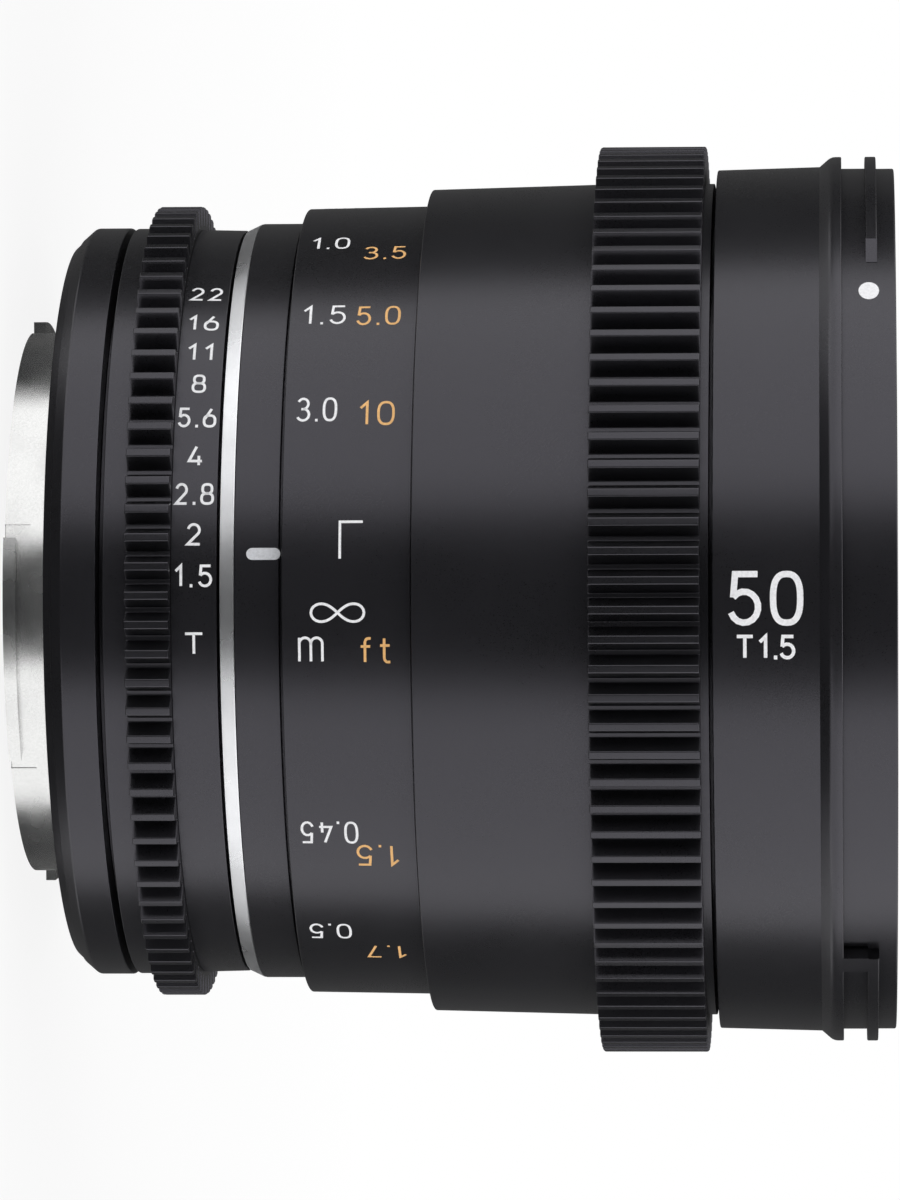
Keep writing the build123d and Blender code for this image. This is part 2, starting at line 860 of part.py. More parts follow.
def rear_cell():
    back_bore = glass_9_radius + seat_gap
    throat = glass_5_radius - glass_seat
    body = revolved(
        [
            (back_bore, rear_cell_back),
            (rear_cell_radius, rear_cell_back),
            (rear_cell_radius, rear_flange_back),
            (optical_bore_radius - seat_gap, rear_flange_back),
            (optical_bore_radius - seat_gap, iris_housing_back - seat_gap),
            (rear_nose_radius, iris_housing_back - seat_gap),
            (rear_nose_radius, rear_nose_front),
            (glass_5_radius + seat_gap, rear_nose_front),
            (glass_5_radius + seat_gap, glass_6_height),
            (throat, glass_6_height),
            (throat, glass_7_front + glass_seat),
            (glass_7_radius - glass_seat, glass_7_front + glass_seat),
            (glass_7_radius - glass_seat, glass_7_front),
            (glass_7_radius + seat_gap, glass_7_front),
            (glass_7_radius + seat_gap, glass_9_front),
            (back_bore, glass_9_front),
        ]
    )
    half_fork = lever_width / 2 + guide_gap + fork_prong_width + running_gap
    margin = math.degrees(half_fork / lever_inner_radius)
    arc = iris_opening_angle + iris_closing_angle + 2 * margin
    start = lever_bearing - iris_opening_angle - margin
    return body - ring(
        lever_inner_radius - running_gap, lever_outer_radius + running_gap,
        rear_flange_back - overrun, iris_housing_back + overrun, arc, start,
    )


def middle_retainer():
    back = glass_5_front + seat_gap
    return ring(glass_5_radius - glass_seat, glass_5_radius, back, back + glass_seat)


def rear_spacer():
    back, front = glass_9_front + seat_gap, glass_8_height - seat_gap
    return ring(glass_9_radius - glass_seat, glass_7_radius, back, front)


def rear_retainer():
    front = glass_9_height - seat_gap
    return ring(glass_9_radius - glass_seat, glass_9_radius, front - glass_seat, front)


def glass(radius, height, shares):
    """A lens element, from the rim radius, the height of the rim's rear edge and its shares."""
    thickness, front_bulge, back_bulge = [share * radius for share in shares]
    front_edge, back_edge = height + thickness, height
    profile = Line((radius, back_edge), (radius, front_edge))
    profile += face_curve(radius, front_edge, front_bulge)
    profile += Line((0, front_edge + front_bulge), (0, back_edge - back_bulge))
    profile += face_curve(radius, back_edge, -back_bulge)
    return revolve(Plane.XZ * make_face(profile), Axis.Z)


def face_curve(radius, edge, bulge):
    """The flat seat at the rim and half of the spherical face inside it, or one flat face."""
    if bulge == 0:
        return Line((radius, edge), (0, edge))
    lip = radius - glass_seat - seat_gap
    curve = (lip**2 + bulge**2) / (2 * abs(bulge))
    middle = lip / 2
    fall = curve - math.sqrt(curve**2 - middle**2)
    drop = math.copysign(fall, bulge)
    seat = Line((radius, edge), (lip, edge))
    return seat + ThreePointArc((lip, edge), (middle, edge + bulge - drop), (0, edge + bulge))


# Iris


def iris_housing():
    """The plate that the blades turn on, with its nine pivot pins and its outer wall."""
    outer = optical_bore_radius - seat_gap
    front = iris_plate_back + iris_plate_thickness
    body = revolved(
        [
            (iris_plate_bore_radius, iris_plate_back),
            (iris_wall_bore_radius, iris_plate_back),
            (iris_wall_bore_radius, iris_housing_back),
            (outer, iris_housing_back),
            (outer, front),
            (iris_plate_bore_radius, front),
        ]
    )
    pin_back = cam_ring_front + cam_ring_gap / 2
    for index in range(blade_count):
        bearing = index * 360 / blade_count
        body += axial_pin(pivot_radius, pivot_circle, pin_back, iris_plate_back + seat_gap, bearing)
    return body


def pin_place(swing):
    """Where the first blade's drive pin is when the blade has swung by an angle."""
    arm_x, arm_y = polar(pin_arm, pin_start_angle + swing)
    return (pivot_circle + arm_x, arm_y)


def iris_blade(index):
    """A thin crescent with a pivot hole and a drive pin, in a layer of its own."""
    swing = blade_swing * iris_opening_angle / (iris_opening_angle + iris_closing_angle)
    middle = (blade_inner_radius + blade_outer_radius) / 2
    span = blade_tip_angle - blade_tail_angle
    arc = CenterArc((0, 0), middle, blade_tail_angle, span)
    crescent = SlotArc(arc, blade_outer_radius - blade_inner_radius)
    pin_x, pin_y = pin_place(0)
    ear = make_hull(
        (
            Pos(pivot_circle, 0) * Circle(pivot_radius + ear_wall)
            + Pos(pin_x, pin_y) * Circle(pin_radius + ear_wall)
            + Pos(middle, 0) * Circle(pivot_radius + ear_wall)
        ).edges()
    )
    hole = Pos(pivot_circle, 0) * Circle(pivot_radius + pin_gap)
    outline = crescent + ear - hole
    front = iris_plate_back - blade_pitch * index - blade_pitch / 2
    back = front - blade_thickness
    body = Pos(0, 0, back) * extrude(outline, blade_thickness)
    pin_back = cam_ring_back + cam_ring_gap / 2
    body += Pos(pin_x, pin_y, pin_back) * Cylinder(
        pin_radius, front - pin_back, align=(Align.CENTER, Align.CENTER, Align.MIN)
    )
    body = Pos(pivot_circle, 0, 0) * Rot(Z=swing) * Pos(-pivot_circle, 0, 0) * body
    return Rot(Z=index * 360 / blade_count) * body


def iris_cam_ring():
    """The ring whose nine slots swing the blades, with the fork that the iris lever slides in."""
    outer = cam_ring_radius
    body = ring(cam_ring_bore_radius, outer, cam_ring_back, cam_ring_front)
    total = iris_opening_angle + iris_closing_angle
    places = []
    for share in (0, 0.5, 1):
        pin_x, pin_y = pin_place(blade_swing * share)
        turn = -math.radians(total * share - iris_opening_angle)
        places.append(
            (
                pin_x * math.cos(turn) - pin_y * math.sin(turn),
                pin_x * math.sin(turn) + pin_y * math.cos(turn),
            )
        )
    slot = SlotArc(ThreePointArc(*places), 2 * (pin_radius + 2 * pin_gap))
    cutter = Pos(0, 0, cam_ring_back - overrun) * extrude(slot, cam_ring_thickness + 2 * overrun)
    for index in range(blade_count):
        body -= Rot(Z=index * 360 / blade_count) * cutter
    offset = lever_width / 2 + guide_gap + fork_prong_width / 2
    for side in (-1, 1):
        prong = Box(
            outer - lever_inner_radius, fork_prong_width, fork_length + cam_ring_thickness / 2,
            align=(Align.MAX, Align.CENTER, Align.MIN),
        )
        reach = math.sqrt(outer**2 - (offset + fork_prong_width / 2) ** 2)
        place = Pos(reach, side * offset, cam_ring_back - fork_length)
        body += Rot(Z=lever_bearing) * place * prong
    return body


pieces = {
    "mount_plate": mount_plate(),
    "rear_baffle": rear_baffle(),
    "rear_housing": rear_housing(),
    "mount_index_bead": index_bead(0),
    "iris_ring": iris_ring(),
    "iris_lever": iris_lever(),
    "accent_ring": accent_ring(),
    "index_ring": index_ring(),
    "guide_sleeve": guide_sleeve(),
    "focus_scale_ring": focus_scale_ring(),
    "focus_barrel": focus_barrel(),
    "focus_gear_ring": focus_gear_ring(),
    "focus_cam_sleeve": cam_sleeve(),
    "front_barrel": front_barrel(),
    "sleeve_nut": sleeve_nut(),
    "hood_ring": hood_ring(),
    "optical_barrel": optical_barrel(),
    "front_cell": front_cell(),
    "front_trim": front_trim(),
    "front_retainer": front_retainer(),
    "front_spacer": front_spacer(),
    "doublet_retainer": doublet_retainer(),
    "rear_cell": rear_cell(),
    "middle_retainer": middle_retainer(),
    "rear_spacer": rear_spacer(),
    "rear_retainer": rear_retainer(),
    "glass_1": glass(glass_1_radius, glass_1_height, glass_1_shares),
    "glass_2": glass(glass_2_radius, glass_2_height, glass_2_shares),
    "glass_3": glass(glass_3_radius, glass_3_height, glass_3_shares),
    "glass_4": glass(glass_3_radius, glass_4_height, glass_4_shares),
    "glass_5": glass(glass_5_radius, glass_5_height, glass_5_shares),
    "glass_6": glass(glass_5_radius, glass_6_height, glass_6_shares),
    "glass_7": glass(glass_7_radius, glass_7_height, glass_7_shares),
    "glass_8": glass(glass_7_radius, glass_8_height, glass_8_shares),
    "glass_9": glass(glass_9_radius, glass_9_height, glass_9_shares),
    "iris_housing": iris_housing(),
    "iris_cam_ring": iris_cam_ring(),
}
for number in range(mount_screw_count):
    pieces[f"mount_screw_{number + 1}"] = mount_screw(number)
for number in range(follower_count):
    pieces[f"follower_{number + 1}"] = follower(number)
for number in range(blade_count):
    pieces[f"iris_blade_{number + 1}"] = iris_blade(number)

os.makedirs("parts", exist_ok=True)
for name, piece in pieces.items():
    export_step(piece, f"parts/{name}.step")
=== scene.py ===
import json
import math

import bmesh
import bpy
from mathutils import Matrix, Vector


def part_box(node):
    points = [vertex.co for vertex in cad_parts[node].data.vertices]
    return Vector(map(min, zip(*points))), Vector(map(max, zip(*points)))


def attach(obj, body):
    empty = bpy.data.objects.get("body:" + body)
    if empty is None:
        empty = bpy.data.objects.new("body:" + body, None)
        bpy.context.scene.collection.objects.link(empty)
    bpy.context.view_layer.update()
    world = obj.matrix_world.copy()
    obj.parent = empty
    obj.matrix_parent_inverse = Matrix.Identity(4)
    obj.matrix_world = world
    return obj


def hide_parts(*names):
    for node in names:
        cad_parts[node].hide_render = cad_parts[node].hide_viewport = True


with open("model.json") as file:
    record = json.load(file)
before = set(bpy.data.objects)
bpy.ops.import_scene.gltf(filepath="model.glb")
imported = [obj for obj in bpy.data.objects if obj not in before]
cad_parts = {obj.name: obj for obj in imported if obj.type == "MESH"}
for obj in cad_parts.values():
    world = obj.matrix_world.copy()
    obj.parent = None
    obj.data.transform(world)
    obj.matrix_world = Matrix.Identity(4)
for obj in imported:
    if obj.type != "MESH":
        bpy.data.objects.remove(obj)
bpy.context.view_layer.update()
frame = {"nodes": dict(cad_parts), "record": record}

# A 50 mm prime lens for cinema cameras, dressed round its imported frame.
# Lengths below are in millimetres unless a name ends in _m, and angles are in degrees.
# A height is a distance along the optical axis, save that of a letter, and a radius one from it.
# A turn is an angle about the axis from the point nearest the camera, upwards in the picture.
# The place of a mark is the height of its middle.
mm = 0.001

# Camera, from the photograph's own perspective
camera_distance_m = 0.6247
camera_height_m = 0.0700
camera_tilt = 3.304
camera_roll = 0.183
camera_lens = 203.3
camera_sensor = 36.0

# Mesh density, and what counts as a bend or a sharp edge
ring_segments = 360
fillet_steps = 4
sharp_angle = 32.0
least_bend = 2.0
longest_setback = 0.45

# Roundings of edges
edge_round = 0.12
fine_edge = 0.06
soft_edge = 0.1

# How far an added block reaches into its ring, and how far a hidden face goes past an edge
sink = 0.2
lap = 0.1

# Printed marks, a little proud of their rings
mark_proud = 0.012
mark_root = 0.03
mark_step = 0.35
sharpest_mitre = 0.4
scale_text_height = 2.4
scale_text_stroke = 0.23
iris_text_height = 2.0
iris_text_stroke = 0.24
iris_text_place = 13.43
index_bar_length = 3.0
index_bar_width = 1.05
index_bar_place = 19.6
index_bar_turn = 6.74
hood_dot_half_length = 0.9
hood_dot_half_width = 1.06
hood_dot_place = 72.5
hood_dot_turn = 43.2
hood_dot_proud = 0.02


def span(node):
    """The lowest and highest height of a node, in millimetres."""
    low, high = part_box(node)
    return low.z / mm, high.z / mm


def reach(node):
    """The outer radius of a round node, in millimetres."""
    low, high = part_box(node)
    return high.x / mm


mount_back = span("mount_plate")[0]
housing_back, housing_front = span("rear_housing")
iris_back, iris_front = span("iris_ring")
accent_back, accent_front = span("accent_ring")
index_back, index_front = span("index_ring")
scale_back, scale_front = span("focus_scale_ring")
barrel_back, barrel_front = span("focus_barrel")
gear_back, gear_front = span("focus_gear_ring")
front_back = span("front_barrel")[0]
hood_back, hood_front = span("hood_ring")

# Bayonet neck: its stop block, and the steps round its three tongues
neck_stop_root = 24.6
neck_stop_radius = 25.85
neck_stop_back = -3.65
neck_stop_front = -2.75
neck_stop_turns = (-103.0, -90.5)
relief_turn = -130.5
relief_half_arc = 26.4
relief_radius = 24.84
relief_root = relief_radius - 0.3
relief_back = mount_back + 0.04
relief_top = mount_back + 2.3

# Rear housing, from the recess of the mount plate to the spigot inside the iris ring
plate_seat_radius = 31.65
plate_seat = 1.65
skirt_face_radius = 32.75
skirt_step_radius = 33.4
skirt_step = 0.7
skirt_lip_radius = 33.55
skirt_lip = 0.72
skirt_shoulder = 1.75
skirt_round = 0.45
skirt_front = 4.8
spigot_radius = 31.6
housing_bore = 29.2
throat_radius = 22.9
throat_front = 3.45

# Silver accent ring and index ring
accent_bore = 31.65
accent_back_radius = 34.16
accent_front_radius = 34.74
accent_lip = 0.08
index_bore = 34.05
index_radius = 34.77

# Iris ring
iris_collar = 34.4
iris_teeth = 89
iris_bearing = 0.73
iris_tip = 36.4
iris_root = 34.6
iris_bore = 31.9
iris_web = iris_bore + 1.2
iris_teeth_bore = iris_bore + 1
iris_gear_start = iris_back + 2.1
iris_gear_stop = iris_gear_start + 3.92
iris_skirt = 34.16
iris_skirt_start = 34.26

# Focus ring
ring_gap = 0.05
barrel_step = barrel_back + 0.65
groove_width = 0.12
scale_radius = 36.11
scale_end = 36.29
scale_lip = 34.3
scale_lip_stop = scale_back + 1
scale_root = scale_end - 0.45
barrel_root = scale_end - 0.5
barrel_radius = 37.81
barrel_end = 38.19
barrel_spigot = 36.85
focus_teeth = 102
focus_bearing = 2.26
focus_tip = 41.6
focus_root = 39.8
focus_gear_start = gear_back + 0.95
focus_gear_stop = focus_gear_start + 9.65
focus_bore = 35.35
focus_gear_bore = 36.9
focus_teeth_bore = focus_gear_bore + 1
focus_web_start = focus_gear_start + lap
focus_web_stop = focus_gear_stop - 0.2

# Front barrel, slightly conical
front_start_radius = 39.42
front_end_radius = 39.66
front_seat_radius = 34.05
front_bore = 36.5
front_seat = front_back + 2.55

# Teeth of both gears
tooth_land = 0.68
root_land = 0.49
tooth_round = 0.14
root_round = 0.16
tooth_end_chamfer = 0.16


# Mesh helpers


def make_object(name, vertices, faces, material, smooth=True):
    """A mesh object in the frame, from corners in millimetres."""
    mesh = bpy.data.meshes.new(name)
    mesh.from_pydata([(x * mm, y * mm, z * mm) for x, y, z in vertices], [], faces)
    mesh.validate()
    if smooth:
        mesh.shade_smooth()
        mesh.set_sharp_from_angle(angle=math.radians(sharp_angle))
    mesh.materials.append(material)
    piece = bpy.data.objects.new(name, mesh)
    bpy.context.scene.collection.objects.link(piece)
    return piece


def even_normals(piece):
    """Flat stretches keep their own shading beside small rounded edges."""
    modifier = piece.modifiers.new("even_normals", "WEIGHTED_NORMAL")
    modifier.keep_sharp = True
    modifier.weight = 100
    return piece


def dress(piece, body, slot, *nodes):
    """Puts a finished piece on its body, in place of the nodes it stands for."""
    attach(piece, body)
    if nodes:
        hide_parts(*nodes)
    return piece


def around(radius, turn, height):
    """The point at a radius, a turn and a height."""
    angle = math.radians(turn)
    return (-radius * math.sin(angle), -radius * math.cos(angle), height)


def wall(here, there, count):
    """The faces between two loops of count corners, from the first corner of each."""
    faces = []
    for row in range(count):
        after = (row + 1) % count
        faces.append((here + row, here + after, there + after, there + row))
    return faces


def band(inner, outer, back, front, back_edge=0.0, front_edge=0.0):
    """The outline of a plain band, with a rounding for each of its outer edges."""
    return [
        (inner, back, 0), (outer, back, back_edge), (outer, front, front_edge), (inner, front, 0),
    ]


def rounded(corners, closed=True):
    """Corners (x, y, radius) as points, with an arc at each corner that has a radius."""
    points = []
    count = len(corners)
    for index, (x, y, radius) in enumerate(corners):
        last, after = corners[index - 1], corners[(index + 1) % count]
        at_end = not closed and index in (0, count - 1)
        if radius <= 0 or at_end:
            points.append((x, y))
            continue
        here = Vector((x, y))
        back = Vector((last[0] - x, last[1] - y))
        ahead = Vector((after[0] - x, after[1] - y))
        bend = math.pi - back.angle(ahead)
        if bend < math.radians(least_bend):
            points.append((x, y))
            continue
        limit = longest_setback * min(back.length, ahead.length)
        setback = min(radius * math.tan(bend / 2), limit)
        size = setback / math.tan(bend / 2)
        start, stop = here + back.normalized() * setback, here + ahead.normalized() * setback
        middle = (back.normalized() + ahead.normalized()).normalized()
        centre = here + middle * math.hypot(setback, size)
        first, second = start - centre, stop - centre
        for step in range(fillet_steps + 1):
            share = step / fillet_steps
            arm = first.normalized().slerp(second.normalized(), share)
            point = centre + arm * size
            points.append((point.x, point.y))
    return points


def lathe(name, corners, material, segments=ring_segments, start=0.0, stop=360.0):
    """Turns an outline of (radius, height, rounding) about the axis, all or part of the way."""
    outline = rounded(corners)
    whole = stop - start >= 360
    steps = segments if whole else max(2, round(segments * (stop - start) / 360))
    vertices, faces = [], []
    columns = steps if whole else steps + 1
    for column in range(columns):
        turn = start + (stop - start) * column / steps
        vertices += [around(radius, turn, height) for radius, height in outline]
    count = len(outline)
    for column in range(steps):
        faces += wall(column * count, ((column + 1) % columns) * count, count)
    if not whole:
        faces.append(tuple(range(count)))
        faces.append(tuple(reversed(range((columns - 1) * count, columns * count))))
    piece = make_object(name, vertices, faces, material)
    face_outwards(piece)
    return even_normals(piece)


def face_outwards(piece):
    """Turns the faces of a closed mesh to the outside."""
    work = bmesh.new()
    work.from_mesh(piece.data)
    bmesh.ops.recalc_face_normals(work, faces=work.faces)
    work.to_mesh(piece.data)
    work.free()
    piece.data.set_sharp_from_angle(angle=math.radians(sharp_angle))


def tooth_outline(teeth, tip, root, first_turn):
    """The outline of all teeth, as (radius, turn) points with rounded lands and roots."""
    half_tip = tooth_land / 2
    half_pitch = math.pi * root / teeth
    half_foot = half_pitch - root_land / 2
    corners = [
        (-half_pitch, root, 0),
        (-half_foot, root, root_round),
        (-half_tip, tip, tooth_round),
        (half_tip, tip, tooth_round),
        (half_foot, root, root_round),
        (half_pitch, root, 0),
    ]
    one = rounded(corners, closed=False)[:-1]
    points = []
    for tooth in range(teeth):
        middle = first_turn + tooth * 360 / teeth
        for x, y in one:
            points.append((math.hypot(x, y), middle + math.degrees(math.atan2(x, y))))
    return points


def gear(name, outline, levels, bore, material):
    """Teeth cut by an envelope: levels are (height, largest radius), from back to front."""
    count = len(outline)
    vertices, faces = [], []
    loops = [(levels[0][0], bore)] + levels + [(levels[-1][0], bore)]
    for height, limit in loops:
        vertices += [around(min(radius, limit), turn, height) for radius, turn in outline]
    for loop in range(len(loops)):
        faces += wall(loop * count, ((loop + 1) % len(loops)) * count, count)
    piece = make_object(name, vertices, faces, material)
    face_outwards(piece)
    return even_normals(piece)


# Material helpers


class Nodes:
    """The node tree of a material or world, written one node at a time."""

    def __init__(self, owner):
        owner.use_nodes = True
        self.owner, self.tree = owner, owner.node_tree
        self.tree.nodes.clear()

    def add(self, kind, **settings):
        node = self.tree.nodes.new(kind)
        for key, value in settings.items():
            setattr(node, key, value)
        return node

    def link(self, output, socket):
        self.tree.links.new(output, socket)

    def math(self, operation, first, second=None):
        node = self.add("ShaderNodeMath", operation=operation)
        for socket, value in zip(node.inputs, (first, second)):
            if isinstance(value, (int, float)):
                socket.default_value = value
            elif value is not None:
                self.link(value, socket)
        return node.outputs[0]

    def millimetres(self):
        """Object coordinates in millimetres."""
        source = self.add("ShaderNodeTexCoord")
        scaled = self.add("ShaderNodeVectorMath", operation="SCALE")
        scaled.inputs["Scale"].default_value = 1 / mm
        self.link(source.outputs["Object"], scaled.inputs[0])
        return scaled.outputs[0]

    def stretched(self, source, across, along):
        """The coordinates with one scale across the axis and another along it."""
        node = self.add("ShaderNodeVectorMath", operation="MULTIPLY")
        node.inputs[1].default_value = (across, across, along)
        self.link(source, node.inputs[0])
        return node.outputs[0]

    def noise(self, source, scale, detail=2.0, roughness=0.5):
        node = self.add("ShaderNodeTexNoise")
        node.inputs["Scale"].default_value = scale
        node.inputs["Detail"].default_value = detail
        node.inputs["Roughness"].default_value = roughness
        self.link(source, node.inputs["Vector"])
        return node.outputs["Fac"]

    def range(self, value, low, high, out_low, out_high):
        node = self.add("ShaderNodeMapRange")
        for socket, number in zip(node.inputs[1:5], (low, high, out_low, out_high)):
            socket.default_value = number
        self.link(value, node.inputs[0])
        return node.outputs[0]

    def ramp(self, value, stops):
        node = self.add("ShaderNodeValToRGB")
        elements = node.color_ramp.elements
        while len(elements) < len(stops):
            elements.new(0.5)
        for element, (place, color) in zip(elements, stops):
            element.position = place
            element.color = (*color, 1)
        self.link(value, node.inputs[0])
        return node.outputs[0]

    def bump(self, height, strength, distance_mm, normal=None):
        node = self.add("ShaderNodeBump")
        node.inputs["Strength"].default_value = strength
        node.inputs["Distance"].default_value = distance_mm * mm
        self.link(height, node.inputs["Height"])
        if normal:
            self.link(normal, node.inputs["Normal"])
        return node.outputs[0]

    def shader(self, kind, **values):
        """A shader node with constants on its sockets."""
        node = self.add(kind)
        for key, value in values.items():
            node.inputs[key.replace("_", " ")].default_value = value
        return node

    def blend(self, share, first, second):
        """One shader blended into another."""
        node = self.add("ShaderNodeMixShader")
        for socket, output in zip(node.inputs, (share, first, second)):
            self.link(output, socket)
        return node.outputs[0]

    def show(self, output, kind="ShaderNodeOutputMaterial"):
        self.link(output, self.add(kind).inputs["Surface"])

    def principled(self, **values):
        node = self.shader("ShaderNodeBsdfPrincipled", **values)
        self.show(node.outputs[0])
        return node


def new_material(name):
    return Nodes(bpy.data.materials.new(name))


def grey(value, blue=1.0):
    return (value, value, value * blue)


def anodised(name, dark, light, rough_low, rough_high, ior, grain):
    """Black anodised aluminium, with fine turning lines, a blasted grain and a faint bloom."""
    tree = new_material(name)
    place = tree.millimetres()
    lines = tree.noise(tree.stretched(place, 0.03, 7.0), 1.0, 3.0, 0.6)
    speckle = tree.noise(place, 7.0, 2.0, 0.65)
    bloom = tree.noise(place, 0.09, 3.0, 0.5)
    mixed = tree.math("ADD", tree.math("MULTIPLY", speckle, 0.6), tree.math("MULTIPLY", bloom, 0.4))
    shader = tree.principled(IOR=ior, Specular_Tint=(0.91, 0.885, 1.0, 1))
    color = tree.ramp(mixed, [(0.35, grey(dark, 1.12)), (0.65, grey(light, 1.14))])
    tree.link(color, shader.inputs["Base Color"])
    tree.link(tree.range(mixed, 0.3, 0.7, rough_low, rough_high), shader.inputs["Roughness"])
    fine = tree.bump(speckle, 0.5 * grain, 0.012)
    tree.link(tree.bump(lines, 0.35 * grain, 0.006, fine), shader.inputs["Normal"])
    return tree.owner


def turned_metal(name, color, rough_low, rough_high, grain, speckle_scale=5.0):
    """Bare turned metal: grooves round the axis and tiny pits."""
    tree = new_material(name)
    place = tree.millimetres()
    lines = tree.noise(tree.stretched(place, 0.05, 9.0), 1.0, 4.0, 0.7)
    pits = tree.noise(place, speckle_scale, 3.0, 0.7)
    cloud = tree.noise(place, 0.25, 2.0, 0.5)
    shader = tree.principled(Metallic=1.0)
    low = tuple(0.93 * value for value in color)
    tree.link(tree.ramp(pits, [(0.35, low), (0.6, color)]), shader.inputs["Base Color"])
    tree.link(tree.range(cloud, 0.3, 0.7, rough_low, rough_high), shader.inputs["Roughness"])
    fine = tree.bump(pits, 0.6 * grain, 0.008)
    tree.link(tree.bump(lines, 0.8 * grain, 0.006, fine), shader.inputs["Normal"])
    return tree.owner


def print_ink(name, color):
    """Enamel filled into an engraving, a little uneven."""
    tree = new_material(name)
    place = tree.millimetres()
    mottle = tree.noise(place, 4.0, 2.0, 0.6)
    low = tuple(0.86 * value for value in color)
    shader = tree.principled(Roughness=0.5)
    tree.link(tree.ramp(mottle, [(0.3, low), (0.6, color)]), shader.inputs["Base Color"])
    tree.link(tree.bump(mottle, 0.4, 0.01), shader.inputs["Normal"])
    return tree.owner


def coated_glass(name, tint):
    """Optical glass with a thin coating and a little dust."""
    tree = new_material(name)
    place = tree.millimetres()
    dust = tree.noise(place, 1.8, 4.0, 0.7)
    shader = tree.principled(
        Base_Color=(*tint, 1), IOR=1.52, Transmission_Weight=1.0,
        Thin_Film_Thickness=320.0, Thin_Film_IOR=1.34,
    )
    tree.link(tree.range(dust, 0.62, 0.8, 0.0, 0.05), shader.inputs["Roughness"])
    return tree.owner


def moulded(name, color, rough_low, rough_high):
    """A moulded or painted surface with a fine texture."""
    tree = new_material(name)
    place = tree.millimetres()
    grain = tree.noise(place, 3.5, 3.0, 0.6)
    shader = tree.principled(IOR=1.48)
    low = tuple(0.75 * value for value in color)
    tree.link(tree.ramp(grain, [(0.35, low), (0.65, color)]), shader.inputs["Base Color"])
    tree.link(tree.range(grain, 0.3, 0.7, rough_low, rough_high), shader.inputs["Roughness"])
    tree.link(tree.bump(grain, 0.4, 0.02), shader.inputs["Normal"])
    return tree.owner


black = anodised(
    "black_anodised", dark=0.004, light=0.008, rough_low=0.26, rough_high=0.32, ior=1.53, grain=0.6,
)
black_inside = moulded("black_inside", (0.012, 0.012, 0.013), 0.55, 0.75)
steel = turned_metal("stainless", (0.56, 0.56, 0.555), 0.2, 0.3, grain=0.6)
silver = turned_metal(
    "satin_silver", (0.62, 0.625, 0.64), 0.26, 0.33, grain=1.0, speckle_scale=14.0,
)
brass = turned_metal("brass", (0.78, 0.58, 0.28), 0.25, 0.4, grain=0.6)
blade_steel = moulded("black_steel", (0.03, 0.03, 0.034), 0.35, 0.5)
plastic = moulded("black_plastic", (0.012, 0.012, 0.012), 0.5, 0.7)
bead_red = moulded("red_bead", (0.55, 0.02, 0.015), 0.15, 0.3)
lens_glass = coated_glass("coated_glass", (0.97, 0.99, 1.0))
white_ink = print_ink("white_ink", (0.88, 0.88, 0.90))
grey_ink = print_ink("grey_ink", (0.62, 0.63, 0.66))
orange_ink = print_ink("orange_ink", (0.84, 0.47, 0.17))


# Turned rings


def rear_skirt():
    """The outside of the rear housing, from the mount's rim to the iris ring."""
    skirt = reach("rear_housing")
    corners = [
        (plate_seat_radius, housing_back, fine_edge),
        (skirt_face_radius, housing_back, soft_edge),
        (skirt_step_radius, skirt_step, fine_edge),
        (skirt_lip_radius, skirt_lip, fine_edge),
        (skirt, skirt_shoulder, skirt_round),
        (skirt, skirt_front, edge_round),
        (spigot_radius, skirt_front, soft_edge),
        (spigot_radius, housing_front, fine_edge),
        (housing_bore, housing_front, fine_edge),
        (housing_bore, throat_front, soft_edge),
        (throat_radius, throat_front, fine_edge),
        (throat_radius, plate_seat, fine_edge),
        (plate_seat_radius, plate_seat, 0),
    ]
    piece = lathe("rear_housing_shell", corners, black)
    return dress(piece, "housing", "black_anodised", "rear_housing")


def end_levels(start, stop, tip):
    """Square tooth ends with a small rounded chamfer, for both gears."""
    size = tooth_end_chamfer
    inward, down = 0.3 * size, 0.4 * size
    return [
        (start, tip - size),
        (start + inward, tip - down),
        (start + size, tip),
        (stop - size, tip),
        (stop - inward, tip - down),
        (stop, tip - size),
    ]


def iris_ring():
    """The iris ring: a plain collar, the teeth and the skirt with the T-stops."""
    start, stop = iris_gear_start, iris_gear_stop
    outline = tooth_outline(iris_teeth, iris_tip, iris_root, iris_bearing)
    levels = end_levels(start, stop, iris_tip)
    teeth = gear("iris_gear_teeth", outline, levels, iris_teeth_bore, black)
    dress(teeth, "iris_ring", "black_anodised")
    ring = lathe("iris_ring_shell", [
        (iris_bore, iris_back, 0),
        (iris_collar, iris_back, edge_round),
        (iris_collar, start, fine_edge),
        (iris_web, start, 0),
        (iris_web, stop, 0),
        (iris_skirt_start, stop, fine_edge),
        (iris_skirt, iris_front, edge_round),
        (iris_bore, iris_front, 0),
    ], black)
    dress(ring, "iris_ring", "black_anodised", "iris_ring")


def focus_gear():
    """The teeth of the focus ring, on a plain web."""
    outline = tooth_outline(focus_teeth, focus_tip, focus_root, focus_bearing)
    levels = end_levels(focus_gear_start, focus_gear_stop, focus_tip)
    teeth = gear("focus_gear_teeth", outline, levels, focus_teeth_bore, black)
    dress(teeth, "focus_ring", "black_anodised")
    ring = lathe("focus_gear_shell", [
        (focus_gear_bore, focus_web_start, 0),
        (barrel_end, focus_web_start, 0),
        (barrel_end, focus_web_stop, 0),
        (barrel_end, gear_front, fine_edge),
        (focus_gear_bore, gear_front, 0),
    ], black)
    dress(ring, "focus_ring", "black_anodised", "focus_gear_ring")


def bayonet_stop():
    """The small block on the neck that ends the turn of the bayonet."""
    corners = band(
        neck_stop_root, neck_stop_radius, neck_stop_back, neck_stop_front, fine_edge, fine_edge,
    )
    first, last = neck_stop_turns
    block = lathe("bayonet_stop", corners, steel, start=first, stop=last)
    dress(block, "housing", "stainless")


